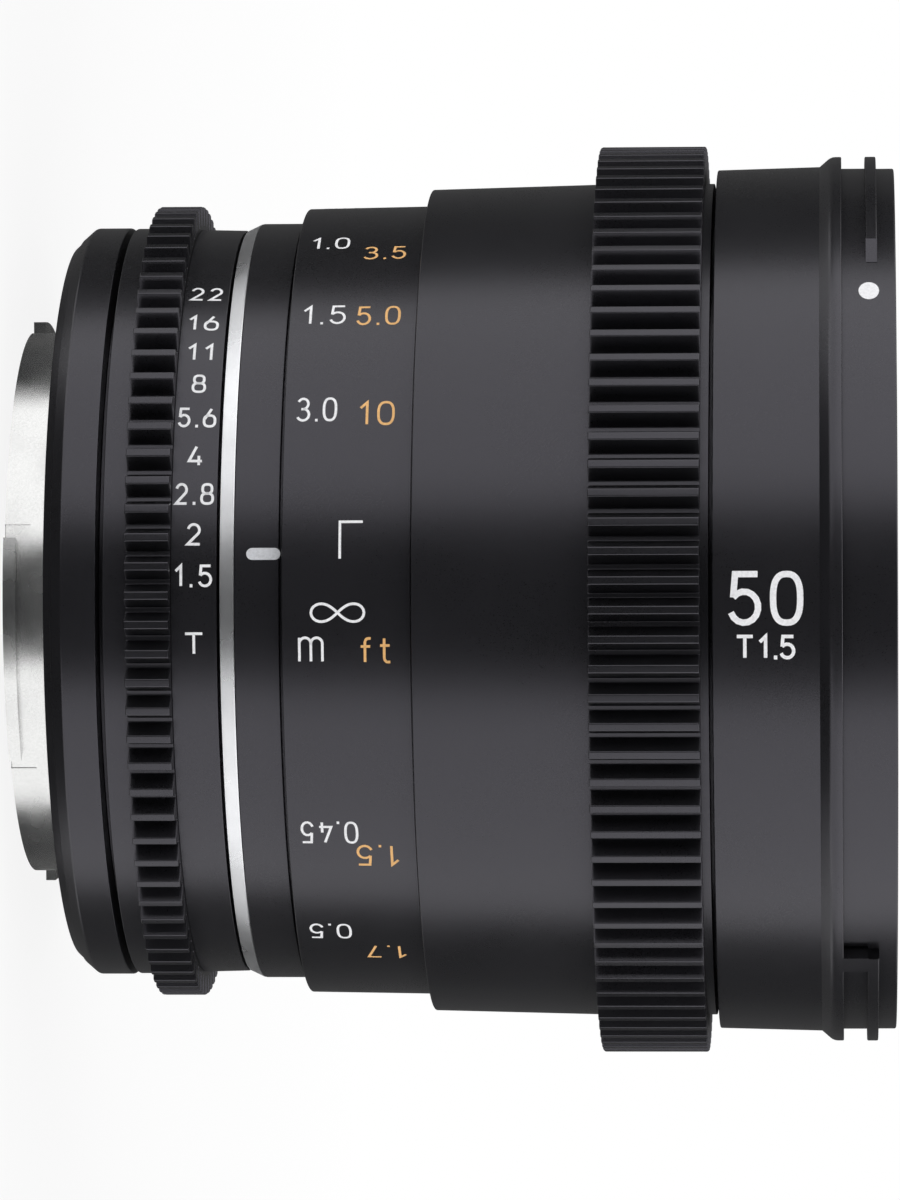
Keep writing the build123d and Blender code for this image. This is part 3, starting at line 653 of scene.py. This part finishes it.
def bayonet_reliefs():
    """The shallow steps round the three tongues of the neck."""
    corners = band(relief_root, relief_radius, relief_back, relief_top, fine_edge)
    for index in range(3):
        middle = relief_turn + index * 120
        start, stop = middle - relief_half_arc, middle + relief_half_arc
        step = lathe(f"bayonet_relief_{index + 1}", corners, steel, start=start, stop=stop)
        dress(step, "housing", "stainless")


def plain_ring(name, node, body, corners, material=black, slot="black_anodised"):
    """A whole turned ring, in place of its node."""
    return dress(lathe(name, corners, material), body, slot, node)


def turned_rings():
    """The rings that have no teeth."""
    plain_ring("accent_ring_shell", "accent_ring", "housing", [
        (accent_bore, accent_back, 0),
        (accent_back_radius, accent_back, fine_edge),
        (accent_front_radius, accent_front - accent_lip, fine_edge),
        (accent_front_radius, accent_front, fine_edge),
        (accent_bore, accent_front, 0),
    ], silver, "satin_silver")
    plain_ring("index_ring_shell", "index_ring", "housing", band(
        index_bore, index_radius, index_back, index_front, fine_edge, edge_round,
    ))
    plain_ring("focus_scale_shell", "focus_scale_ring", "focus_ring", [
        (scale_lip, scale_back + ring_gap, fine_edge),
        (scale_radius, scale_back + ring_gap, edge_round),
        (scale_end, barrel_step - groove_width, 0),
        (scale_root, barrel_step - groove_width, 0),
        (scale_root, scale_front, 0),
        (focus_bore, scale_front, 0),
        (focus_bore, scale_lip_stop, 0),
        (scale_lip, scale_lip_stop, 0),
    ])
    plain_ring("focus_barrel_shell", "focus_barrel", "focus_ring", [
        (focus_bore, barrel_back, 0),
        (barrel_root, barrel_back, fine_edge),
        (barrel_root, barrel_step + ring_gap, 0),
        (barrel_radius, barrel_step + ring_gap, edge_round),
        (barrel_end, focus_gear_start + ring_gap, 0),
        (barrel_spigot, focus_gear_start + ring_gap, 0),
        (barrel_spigot, barrel_front, soft_edge),
        (focus_bore, barrel_front, soft_edge),
    ])
    plain_ring("front_barrel_shell", "front_barrel", "housing", [
        (front_seat_radius, front_back, soft_edge),
        (front_start_radius, front_back, edge_round),
        (front_end_radius, hood_back, 0),
        (front_bore, hood_back, 0),
        (front_bore, front_seat, soft_edge),
        (front_seat_radius, front_seat, soft_edge),
    ])


# Front ring, with its hood bayonet, filter thread and trim
ridge_radius = 40.57
ridge_round = 1.05
channel_radius = 39.2
land_radius = 39.49
rim_radius = 39.47
rim_round = 0.18
lug_root = rim_radius - sink
filter_radius = 38.1
filter_chamfer_radius = filter_radius + 0.25
filter_chamfer = 0.3
filter_depth = 4.0
hood_bore = 36.5
ridge_start = hood_back + 1.05
ridge_stop = hood_back + 1.98
channel_stop = ridge_stop + 2.12
lug_stop = channel_stop + 1.0
land_turns = (-50.4, 308.4)
upper_lug_turns = (51.65, 131.3)
lower_lug_turns = (-128.5, -51.6)
hood_stop_turns = (-54.5, -51.6)
ramp_turns = (48.7, 51.7)
ramp_start_rise = 0.04
thread_pitch = 0.75
thread_depth = 0.36
thread_root = filter_radius + 0.05
thread_foot = 0.3
thread_crest = 0.05
thread_start = hood_front - 0.55
thread_length = filter_depth - 0.9
thread_steps = 96
thread_fade = 12
trim_radius = 36.0
trim_rim = trim_radius - 0.9
trim_seat_radius = 29.4
trim_flange = 3.0
trim_bore = 25.65
trim_steps = 9
trim_start = 0.3
trim_drop = 0.26
trim_slope = 0.2
trim_crest_round = 0.05
trim_root_round = 0.08


def hood_ring():
    """The front ring, with the hood's land, lugs, stop block and ramp."""
    ring = lathe("hood_ring_shell", [
        (hood_bore, hood_back, 0),
        (front_end_radius, hood_back, 0),
        (ridge_radius, ridge_start, ridge_round),
        (ridge_radius, ridge_stop, edge_round),
        (channel_radius, ridge_stop, fine_edge),
        (channel_radius, channel_stop, 0),
        (rim_radius, channel_stop, 0),
        (rim_radius, hood_front, rim_round),
        (filter_chamfer_radius, hood_front, soft_edge),
        (filter_radius, hood_front - filter_chamfer, fine_edge),
        (filter_radius, hood_front - filter_depth, fine_edge),
        (hood_bore, hood_front - filter_depth, fine_edge),
    ], black)
    dress(ring, "housing", "black_anodised", "hood_ring")
    land = band(channel_radius - sink, land_radius, ridge_stop - lap, channel_stop + lap)
    lug = band(lug_root, ridge_radius, channel_stop, lug_stop, edge_round, edge_round)
    block = band(lug_root, ridge_radius, ridge_stop - sink, lug_stop, 0, edge_round)
    for name, corners, (start, stop) in (
        ("hood_land", land, land_turns),
        ("hood_lug_upper", lug, upper_lug_turns),
        ("hood_lug_lower", lug, lower_lug_turns),
        ("hood_stop", block, hood_stop_turns),
    ):
        piece = lathe(name, corners, black, start=start, stop=stop)
        dress(piece, "housing", "black_anodised")
    vertices = []
    for turn, rise in zip(ramp_turns, (ramp_start_rise, ridge_radius - rim_radius)):
        for radius in (lug_root, rim_radius + rise):
            vertices += [around(radius, turn, channel_stop), around(radius, turn, lug_stop)]
    faces = [(0, 1, 3, 2), (4, 6, 7, 5), (0, 4, 5, 1), (2, 3, 7, 6), (0, 2, 6, 4), (1, 5, 7, 3)]
    ramp = make_object("hood_lug_ramp", vertices, faces, black, smooth=False)
    face_outwards(ramp)
    dress(ramp, "housing", "black_anodised")


def filter_thread():
    """The ridge of the filter thread, one long turn after turn inside the front ring."""
    steps = round(thread_length / thread_pitch * thread_steps)
    vertices, faces = [], []
    for step in range(steps + 1):
        height = thread_start - thread_pitch * step / thread_steps
        fade = min(1.0, step / thread_fade, (steps - step) / thread_fade)
        turn = 360 * step / thread_steps
        crest = filter_radius - thread_depth * fade
        vertices += [
            around(thread_root, turn, height + thread_foot),
            around(crest, turn, height + thread_crest),
            around(crest, turn, height - thread_crest),
            around(thread_root, turn, height - thread_foot),
        ]
    for step in range(steps):
        faces += wall(4 * step, 4 * (step + 1), 4)
    faces.append((0, 1, 2, 3))
    faces.append((4 * steps + 3, 4 * steps + 2, 4 * steps + 1, 4 * steps))
    piece = make_object("filter_thread", vertices, faces, black)
    face_outwards(piece)
    dress(piece, "housing", "black_anodised")


def front_trim():
    """The stepped ring round the front glass."""
    back, front = span("front_trim")
    width = (trim_rim - trim_bore) / trim_steps
    top = front - trim_start
    corners = [
        (trim_bore, back, 0),
        (trim_seat_radius, back, 0),
        (trim_seat_radius, front - trim_flange, 0),
        (trim_radius, front - trim_flange, 0),
        (trim_radius, front, edge_round),
        (trim_rim, front, edge_round),
    ]
    for step in range(trim_steps):
        radius = trim_rim - step * width
        low = top - (step + trim_slope) * trim_drop
        corners.append((radius, top - step * trim_drop, trim_crest_round))
        corners.append((radius - width, low, trim_root_round))
    piece = lathe("front_trim_shell", corners, black_inside)
    dress(piece, "optical_block", "black_anodised", "front_trim")


# Printed marks


def curve(x, y, wide, tall, start, stop, steps=14):
    """Points on a stretch of an ellipse, from one angle to another."""
    points = []
    for step in range(steps + 1):
        angle = math.radians(start + (stop - start) * step / steps)
        points.append((x + wide * math.cos(angle), y + tall * math.sin(angle)))
    return points


def oval(x, y, wide, tall, power=2.6, steps=36):
    """A closed, slightly square oval."""
    points = []
    for step in range(steps):
        angle = 2 * math.pi * step / steps
        across, up = math.cos(angle), math.sin(angle)
        points.append((
            x + wide * math.copysign(abs(across) ** (2 / power), across),
            y + tall * math.copysign(abs(up) ** (2 / power), up),
        ))
    return points


def endless(tall=1.18, steps=48):
    """The sign for infinity, as one closed line."""
    points = []
    for step in range(steps):
        angle = 2 * math.pi * step / steps
        under = 1 + math.sin(angle) ** 2
        points.append((0.5 + 0.5 * math.cos(angle) / under,
                       0.5 + tall * math.sin(angle) * math.cos(angle) / under))
    return points


# Each glyph: its width as a share of its height, then its lines as (closed, points)
glyphs = {
    "0": (0.60, [(True, oval(0.5, 0.5, 0.5, 0.5))]),
    "1": (0.40, [(False, [(0.0, 0.74), (0.72, 1.0), (0.72, 0.0)])]),
    "2": (0.58, [(False, curve(0.5, 0.71, 0.46, 0.29, 168, -32) + [(0.0, 0.0), (1.0, 0.0)])]),
    "3": (0.58, [
        (False, curve(0.46, 0.76, 0.44, 0.24, 155, -90) + [(0.3, 0.52)]),
        (False, curve(0.46, 0.265, 0.52, 0.265, 90, -155)),
    ]),
    "4": (0.62, [
        (False, [(0.56, 1.0), (0.0, 0.22), (1.0, 0.22)]),
        (False, [(0.76, 0.5), (0.76, 0.0)]),
    ]),
    "5": (0.58, [
        (False, [(0.94, 1.0), (0.14, 1.0), (0.07, 0.52)]),
        (False, curve(0.46, 0.32, 0.5, 0.32, 141, -160)),
    ]),
    "6": (0.60, [(True, oval(0.5, 0.31, 0.5, 0.31)), (False, [(0.66, 1.0), (0.06, 0.42)])]),
    "7": (0.56, [(False, [(0.0, 1.0), (1.0, 1.0), (0.34, 0.0)])]),
    "8": (0.60, [(True, oval(0.5, 0.76, 0.42, 0.24)), (True, oval(0.5, 0.265, 0.5, 0.265))]),
    "T": (0.60, [(False, [(0.0, 1.0), (1.0, 1.0)]), (False, [(0.5, 1.0), (0.5, 0.0)])]),
    "m": (0.95, [
        (False, [(0.0, 1.0), (0.0, 0.0)]),
        (False, [(0.0, 0.7)] + curve(0.25, 0.75, 0.25, 0.25, 170, 0) + [(0.5, 0.0)]),
        (False, [(0.5, 0.7)] + curve(0.75, 0.75, 0.25, 0.25, 170, 0) + [(1.0, 0.0)]),
    ]),
    "f": (0.42, [
        (False, [(1.0, 1.0)] + curve(0.75, 0.8, 0.33, 0.2, 90, 180) + [(0.42, 0.0)]),
        (False, [(0.0, 0.66), (0.95, 0.66)]),
    ]),
    "t": (0.42, [
        (False, [(0.4, 1.0), (0.4, 0.2)] + curve(0.73, 0.2, 0.33, 0.2, 180, 270) + [(1.0, 0.0)]),
        (False, [(0.0, 0.7), (0.95, 0.7)]),
    ]),
    "&": (2.1, [(True, endless())]),
}
# A full stop's length in strokes, and its half width and the gap after a letter in heights
dot_length = 1.15
dot_share = 0.06
gap_share = 0.20


def lay_out(words, height, stroke, width):
    """Every line of a label, as (closed, points) about the label's middle."""
    lines, cursor = [], 0.0
    for letter in words:
        if letter == ".":
            left = cursor + dot_share * height
            lines.append((False, [(left, 0), (left, stroke * dot_length)]))
            cursor += (2 * dot_share + gap_share) * height
            continue
        share, strokes = glyphs[letter]
        wide, tall, half = share * height - stroke, height - stroke, stroke / 2
        for closed, points in strokes:
            lines.append((closed, [(cursor + half + x * wide, half + y * tall) for x, y in points]))
        cursor += (share + gap_share) * height
    stretch = width / (cursor - gap_share * height)
    return [
        (closed, [(x * stretch - width / 2, y - height / 2) for x, y in points])
        for closed, points in lines
    ]


def divided(points, closed):
    """The same line with its long stretches cut up, so that it bends with the ring."""
    pieces = []
    for index in range(len(points) if closed else len(points) - 1):
        x, y = points[index]
        next_x, next_y = points[(index + 1) % len(points)]
        parts = max(1, math.ceil(math.hypot(next_x - x, next_y - y) / mark_step))
        for part in range(parts):
            share = part / parts
            pieces.append((x + (next_x - x) * share, y + (next_y - y) * share))
    if not closed:
        pieces.append(points[-1])
    return pieces


def side_steps(points, closed):
    """For each point of a line, the mitred step to its edge, in half strokes."""
    steps = []
    count = len(points)
    for index in range(count):
        ways = []
        if index > 0 or closed:
            x, y = points[index - 1]
            ways.append(Vector((points[index][0] - x, points[index][1] - y)))
        if index < count - 1 or closed:
            x, y = points[(index + 1) % count]
            ways.append(Vector((x - points[index][0], y - points[index][1])))
        ways = [way.normalized() for way in ways if way.length > 0] or [Vector((1, 0))]
        sides = [Vector((-way.y, way.x)) for way in ways]
        middle = (sides[0] + sides[-1]).normalized()
        steps.append(middle / max(sharpest_mitre, middle.dot(sides[0])))
    return steps


class Marks:
    """Thin enamel ribbons wrapped on one ring, gathered into one piece."""

    def __init__(self, name, body, material, surface):
        self.name, self.body, self.material, self.surface = name, body, material, surface
        self.vertices, self.faces = [], []

    def place(self, along, up, height, turn, proud):
        """The point at a distance along the axis and up the ring from a label's middle."""
        station = height + along
        radius = self.surface(station)
        return around(radius + proud, turn + math.degrees(up / radius), station)

    def ribbon(self, points, closed, stroke, height, turn, flip):
        """A line about a label's middle, as a band of one stroke's width."""
        sign = -1 if flip else 1
        edges = ((1, mark_proud), (-1, mark_proud), (-1, -mark_root), (1, -mark_root))
        points = divided(points, closed)
        steps = side_steps(points, closed)
        base = len(self.vertices)
        for (x, y), step in zip(points, steps):
            for side, proud in edges:
                along = sign * (x + side * step.x * stroke / 2)
                up = sign * (y + side * step.y * stroke / 2)
                self.vertices.append(self.place(along, up, height, turn, proud))
        count = len(points)
        for index in range(count if closed else count - 1):
            self.faces += wall(base + 4 * index, base + 4 * ((index + 1) % count), 4)
        if not closed:
            last = base + 4 * (count - 1)
            self.faces.append((base, base + 3, base + 2, base + 1))
            self.faces.append((last, last + 1, last + 2, last + 3))

    def text(self, words, letter_height, stroke, width, height, turn, flip=False):
        for closed, points in lay_out(words, letter_height, stroke, width):
            self.ribbon(points, closed, stroke, height, turn, flip)

    def pad(self, points, height, turn, proud=mark_proud):
        """A filled shape, from its outline about a middle."""
        base, count = len(self.vertices), len(points)
        for level in (proud, -mark_root):
            for x, y in points:
                self.vertices.append(self.place(x, y, height, turn, level))
        self.faces.append(tuple(range(base, base + count)))
        self.faces.append(tuple(reversed(range(base + count, base + 2 * count))))
        lower = base + count
        for index in range(count):
            after = (index + 1) % count
            self.faces.append((base + index, lower + index, lower + after, base + after))

    def finish(self):
        piece = make_object(self.name, self.vertices, self.faces, self.material, smooth=False)
        face_outwards(piece)
        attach(piece, self.body)
        return piece


def between(first_height, first_radius, last_height, last_radius):
    """The radius of a slightly conical ring at any height."""
    def surface(height):
        share = (height - first_height) / (last_height - first_height)
        return first_radius + (last_radius - first_radius) * share
    return surface


iris_surface = between(iris_gear_stop, iris_skirt_start, iris_front, iris_skirt)
scale_surface = between(scale_back, scale_radius, barrel_step, scale_end)
front_surface = between(front_back, front_start_radius, hood_back, front_end_radius)

# T-stops: words, width, turn
iris_labels = [
    ("22", 2.9, 53.3), ("16", 2.75, 46.3), ("11", 2.5, 40.1), ("8", 1.3, 34.1), ("5.6", 3.4, 28.15),
    ("4", 1.4, 21.85), ("2.8", 3.45, 15.9), ("2", 1.35, 9.8), ("1.5", 3.4, 3.65), ("T", 1.9, -6.3),
]
# Distances in metres and feet: words, width, place, turn, upside down
metre_labels = [
    ("1.0", 3.4, 24.3, 62.7, False), ("1.5", 3.9, 24.4, 44.4, False),
    ("3.0", 3.55, 24.15, 27.6, False), ("0.45", 5.1, 24.95, -34.4, True),
    ("0.5", 3.8, 24.35, -54.8, True), ("0.7", 3.8, 24.35, 88.8, False),
    ("0.5", 3.8, 24.35, 127.5, False), ("0.45", 5.1, 24.95, 144.1, False),
    ("0.7", 3.8, 24.35, -91.8, True), ("1.0", 3.4, 24.3, -117.7, True),
    ("1.5", 3.9, 24.4, -136.2, True), ("3.0", 3.55, 24.15, -153.4, True),
]
feet_labels = [
    ("3.5", 3.85, 29.3, 59.3, False), ("5.0", 3.9, 29.2, 44.1, False),
    ("10", 3.15, 29.45, 26.9, False), ("1.5", 3.85, 29.13, -38.4, True),
    ("1.7", 3.6, 29.2, -60.5, True), ("2.0", 3.85, 29.3, 102.3, False),
    ("1.7", 3.6, 29.2, 122.4, False), ("1.5", 3.85, 29.2, 139.9, False),
    ("2.5", 3.85, 29.3, -99.1, True), ("3.5", 3.85, 29.3, -121.3, True),
    ("5.0", 3.9, 29.2, -136.8, True), ("10", 3.15, 29.45, -153.7, True),
]
# The corner line before the far end of both scales, and its signs: words, letter height, width,
# place, turn from the line
corner_turns = (10.9, -169.5)
corner_place = 27.3
corner_leg = 3.25
corner_signs = [("&", 2.1, 4.9, 26.2, -12.6), ("m", 2.3, 2.25, 23.85, -17.7)]
# The sign for feet: words, letter height, stroke, width, place
feet_sign = ("ft", 2.3, scale_text_stroke, 2.85, 29.5)
feet_sign_turns = (-6.9, 172.8)

# Front marks, one letter at a time: letter, its height, stroke, width, place and turn
front_labels = [
    ("5", 4.75, 0.55, 3.03, 61.73, 0.08), ("0", 4.75, 0.55, 2.90, 65.30, 0.08),
    ("T", 2.15, 0.3, 1.80, 61.68, -6.03), ("1", 2.15, 0.3, 1.05, 63.32, -6.03),
    (".", 2.15, 0.3, 0.26, 64.33, -6.03), ("5", 2.15, 0.3, 1.48, 65.38, -6.03),
]


def stadium(length, width, steps=10):
    """A bar with round ends, along the axis."""
    offset, half = (length - width) / 2, width / 2
    return (curve(offset, 0, half, half, -90, 90, steps)
            + curve(-offset, 0, half, half, 90, 270, steps))


def iris_marks():
    """The T-stops, twice, for reading from either side."""
    marks = Marks("iris_scale", "iris_ring", white_ink, iris_surface)
    for words, width, turn in iris_labels:
        label = words, iris_text_height, iris_text_stroke, width, iris_text_place
        marks.text(*label, turn)
        marks.text(*label, turn + 180, True)
    marks.finish()


def focus_marks():
    """The distance scales in metres and in feet."""
    metres = Marks("focus_scale_metres", "focus_ring", white_ink, scale_surface)
    for words, width, place, turn, flip in metre_labels:
        metres.text(words, scale_text_height, scale_text_stroke, width, place, turn, flip)
    for turn, flip in zip(corner_turns, (False, True)):
        for words, letter_height, width, place, shift in corner_signs:
            metres.text(words, letter_height, scale_text_stroke, width, place, turn + shift, flip)
        corner = [(1.1, 0.0), (-0.9, 0.0), (-0.9, corner_leg if flip else -corner_leg)]
        metres.ribbon(corner, False, scale_text_stroke, corner_place, turn, flip)
    metres.finish()
    feet = Marks("focus_scale_feet", "focus_ring", orange_ink, scale_surface)
    for words, width, place, turn, flip in feet_labels:
        feet.text(words, scale_text_height, scale_text_stroke, width, place, turn, flip)
    for turn, flip in zip(feet_sign_turns, (False, True)):
        feet.text(*feet_sign, turn, flip)
    feet.finish()


def fixed_marks():
    """The index bars, the focal length and stop on the front barrel, and the hood dot."""
    index = Marks("index_mark", "housing", grey_ink, lambda height: reach("index_ring"))
    for turn in (index_bar_turn, index_bar_turn + 180):
        index.pad(stadium(index_bar_length, index_bar_width), index_bar_place, turn)
    index.finish()
    front = Marks("front_marks", "housing", white_ink, front_surface)
    for label in front_labels:
        front.text(*label)
    front.finish()
    dot = Marks("hood_dot", "housing", white_ink, lambda height: land_radius)
    disc = oval(0, 0, hood_dot_half_length, hood_dot_half_width, power=2, steps=40)
    dot.pad(disc, hood_dot_place, hood_dot_turn, hood_dot_proud)
    dot.finish()


rear_skirt()
bayonet_stop()
bayonet_reliefs()
iris_ring()
focus_gear()
turned_rings()
hood_ring()
filter_thread()
front_trim()
iris_marks()
focus_marks()
fixed_marks()

# Everything else in the frame gets its finish
finishes = {
    "black_anodised": black,
    "satin_silver": silver,
    "stainless": steel,
    "black_steel": blade_steel,
    "brass": brass,
    "black_plastic": plastic,
    "red_bead": bead_red,
    "coated_glass": lens_glass,
}
for part in frame["record"]["subparts"]:
    node = frame["nodes"][part["node"]]
    node.data.materials.clear()
    node.data.materials.append(finishes[part["material_slot"]])


# Camera


def make_camera():
    """The camera, with the axis of the lens lying across its picture."""
    data = bpy.data.cameras.new("camera")
    data.lens = camera_lens
    data.sensor_width = camera_sensor
    data.sensor_fit = "AUTO"
    data.clip_start = 0.01
    data.clip_end = 50
    camera = bpy.data.objects.new("camera", data)
    tilt = math.radians(camera_tilt)
    place = Matrix.Translation((0, -camera_distance_m, camera_height_m))
    view = Vector((0, math.cos(tilt), -math.sin(tilt)))
    right = Vector((0, math.sin(tilt), math.cos(tilt)))
    up = Vector((-1, 0, 0))
    basis = Matrix((right, up, -view)).transposed().to_4x4()
    roll = Matrix.Rotation(math.radians(-camera_roll), 4, "Z")
    camera.matrix_world = place @ basis @ roll
    bpy.context.scene.collection.objects.link(camera)
    bpy.context.scene.camera = camera


make_camera()


# Stage and light

floor_size_m = 3.0
# The floor is a little grey to the camera near the lens, and white further out
shade_start = 60.0
shade_stop = 420.0
# Strength of the white that metal and lacquer see in the floor and backdrop, and in the world
glossy_white = 0.1
world_glossy_white = 0.03
# Where the floor turns into a mirror, from steep to flat
mirror_start = 0.08
mirror_stop = 0.2
mirror_roughness = 0.02
room_strength = 0.03
# Lamps: name, azimuth, distance, width, height, height of the aim, watts, elevation, in metres
lamps = [
    ("softbox_left", -60, 0.9, 1.31, 1.5, 0.75, 11.9 * 1.06, 0),
    ("softbox_right", 60, 0.9, 1.31, 1.5, 0.75, 11.9, 0),
    ("high_softbox_left", -110, 0.95, 0.5, 0.6, 0, 1.1, 40),
    ("high_softbox_right", 110, 0.95, 0.5, 0.6, 0, 1.1, 40),
    ("overhead", 0, 1.2, 0.8, 0.8, 0, 6.0, 90),
    ("rear_softbox", 180, 1.0, 1.0, 0.6, 0.05, 3.0, 56),
]


def backdrop_material(name, camera_share, colour, mirror_share):
    """A pale surface: white to the camera and glass, a dim white or a mirror to metal."""
    tree = new_material(name)
    path = tree.add("ShaderNodeLightPath")
    glossy, through = path.outputs["Is Glossy Ray"], path.outputs["Is Transmission Ray"]
    spread = tree.add("ShaderNodeVectorMath", operation="LENGTH")
    place = tree.millimetres()
    tree.link(place, spread.inputs[0])
    whiteness = tree.range(spread.outputs["Value"], shade_start, shade_stop, camera_share, 1.0)
    seen = tree.math("MULTIPLY", path.outputs["Is Camera Ray"], whiteness)
    share = tree.math("ADD", seen, tree.math("ADD", glossy, through))
    diffuse = tree.add("ShaderNodeBsdfDiffuse")
    shades = [(0.3, grey(colour * 0.98)), (0.7, grey(colour))]
    tree.link(tree.ramp(tree.noise(place, 0.02), shades), diffuse.inputs["Color"])
    glow = tree.shader("ShaderNodeEmission", Color=(1, 1, 1, 1))
    tree.link(tree.range(glossy, 0.0, 1.0, 1.0, glossy_white), glow.inputs["Strength"])
    pale = tree.blend(share, diffuse.outputs[0], glow.outputs[0])
    polish = tree.shader(
        "ShaderNodeBsdfGlossy", Roughness=mirror_roughness, Color=(0.95, 0.95, 0.95, 1),
    )
    slant = tree.shader("ShaderNodeLayerWeight", Blend=0.5)
    sheen = tree.range(slant.outputs["Facing"], mirror_start, mirror_stop, 0.0, mirror_share)
    tree.show(tree.blend(tree.math("MULTIPLY", glossy, sheen), pale, polish.outputs[0]))
    return tree.owner


def softbox(name, azimuth, distance, width, height, aim_height, power, elevation):
    """A rectangular lamp that faces a point on the axis of the lens."""
    data = bpy.data.lights.new(name, "AREA")
    data.shape = "RECTANGLE"
    data.size = width
    data.size_y = height
    data.energy = power
    lamp = bpy.data.objects.new(name, data)
    angle, rise = math.radians(azimuth), math.radians(elevation)
    flat = math.cos(rise)
    outward = Vector((math.sin(angle) * flat, -math.cos(angle) * flat, math.sin(rise)))
    lamp.location = outward * distance + Vector((0, 0, aim_height))
    lamp.rotation_mode = "QUATERNION"
    lamp.rotation_quaternion = outward.to_track_quat("Z", "Y")
    lamp.visible_camera = False
    bpy.context.scene.collection.objects.link(lamp)
    return lamp


def make_stage():
    """A floor that the mount stands on, and a backdrop behind the lens."""
    level = mount_back
    half = floor_size_m / 2 / mm
    floor = make_object(
        "floor",
        [(-half, -half, level), (half, -half, level), (half, half, level), (-half, half, level)],
        [(0, 1, 2, 3)],
        backdrop_material("pale_floor", camera_share=0.88, colour=0.6, mirror_share=0.9),
    )
    backdrop = make_object(
        "backdrop",
        [(-half, half, level), (half, half, level), (half, half, half), (-half, half, half)],
        [(0, 1, 2, 3)],
        backdrop_material("pale_backdrop", camera_share=1.0, colour=0.3, mirror_share=0.0),
    )


def make_world():
    """A dim room for the lens, and white to the camera and glass."""
    tree = Nodes(bpy.data.worlds.new("studio"))
    bpy.context.scene.world = tree.owner
    path = tree.add("ShaderNodeLightPath")
    room = tree.shader("ShaderNodeBackground", Color=(0.9, 0.95, 1.0, 1), Strength=room_strength)
    seen = tree.shader("ShaderNodeBackground", Color=(1, 1, 1, 1), Strength=1.0)
    glossy = tree.math("MULTIPLY", path.outputs["Is Glossy Ray"], world_glossy_white)
    through = tree.math("ADD", glossy, path.outputs["Is Transmission Ray"])
    share = tree.math("ADD", path.outputs["Is Camera Ray"], through)
    tree.show(tree.blend(share, room.outputs[0], seen.outputs[0]), "ShaderNodeOutputWorld")


make_stage()
make_world()
for lamp in lamps:
    softbox(*lamp)

bpy.context.scene.view_settings.view_transform = "Standard"
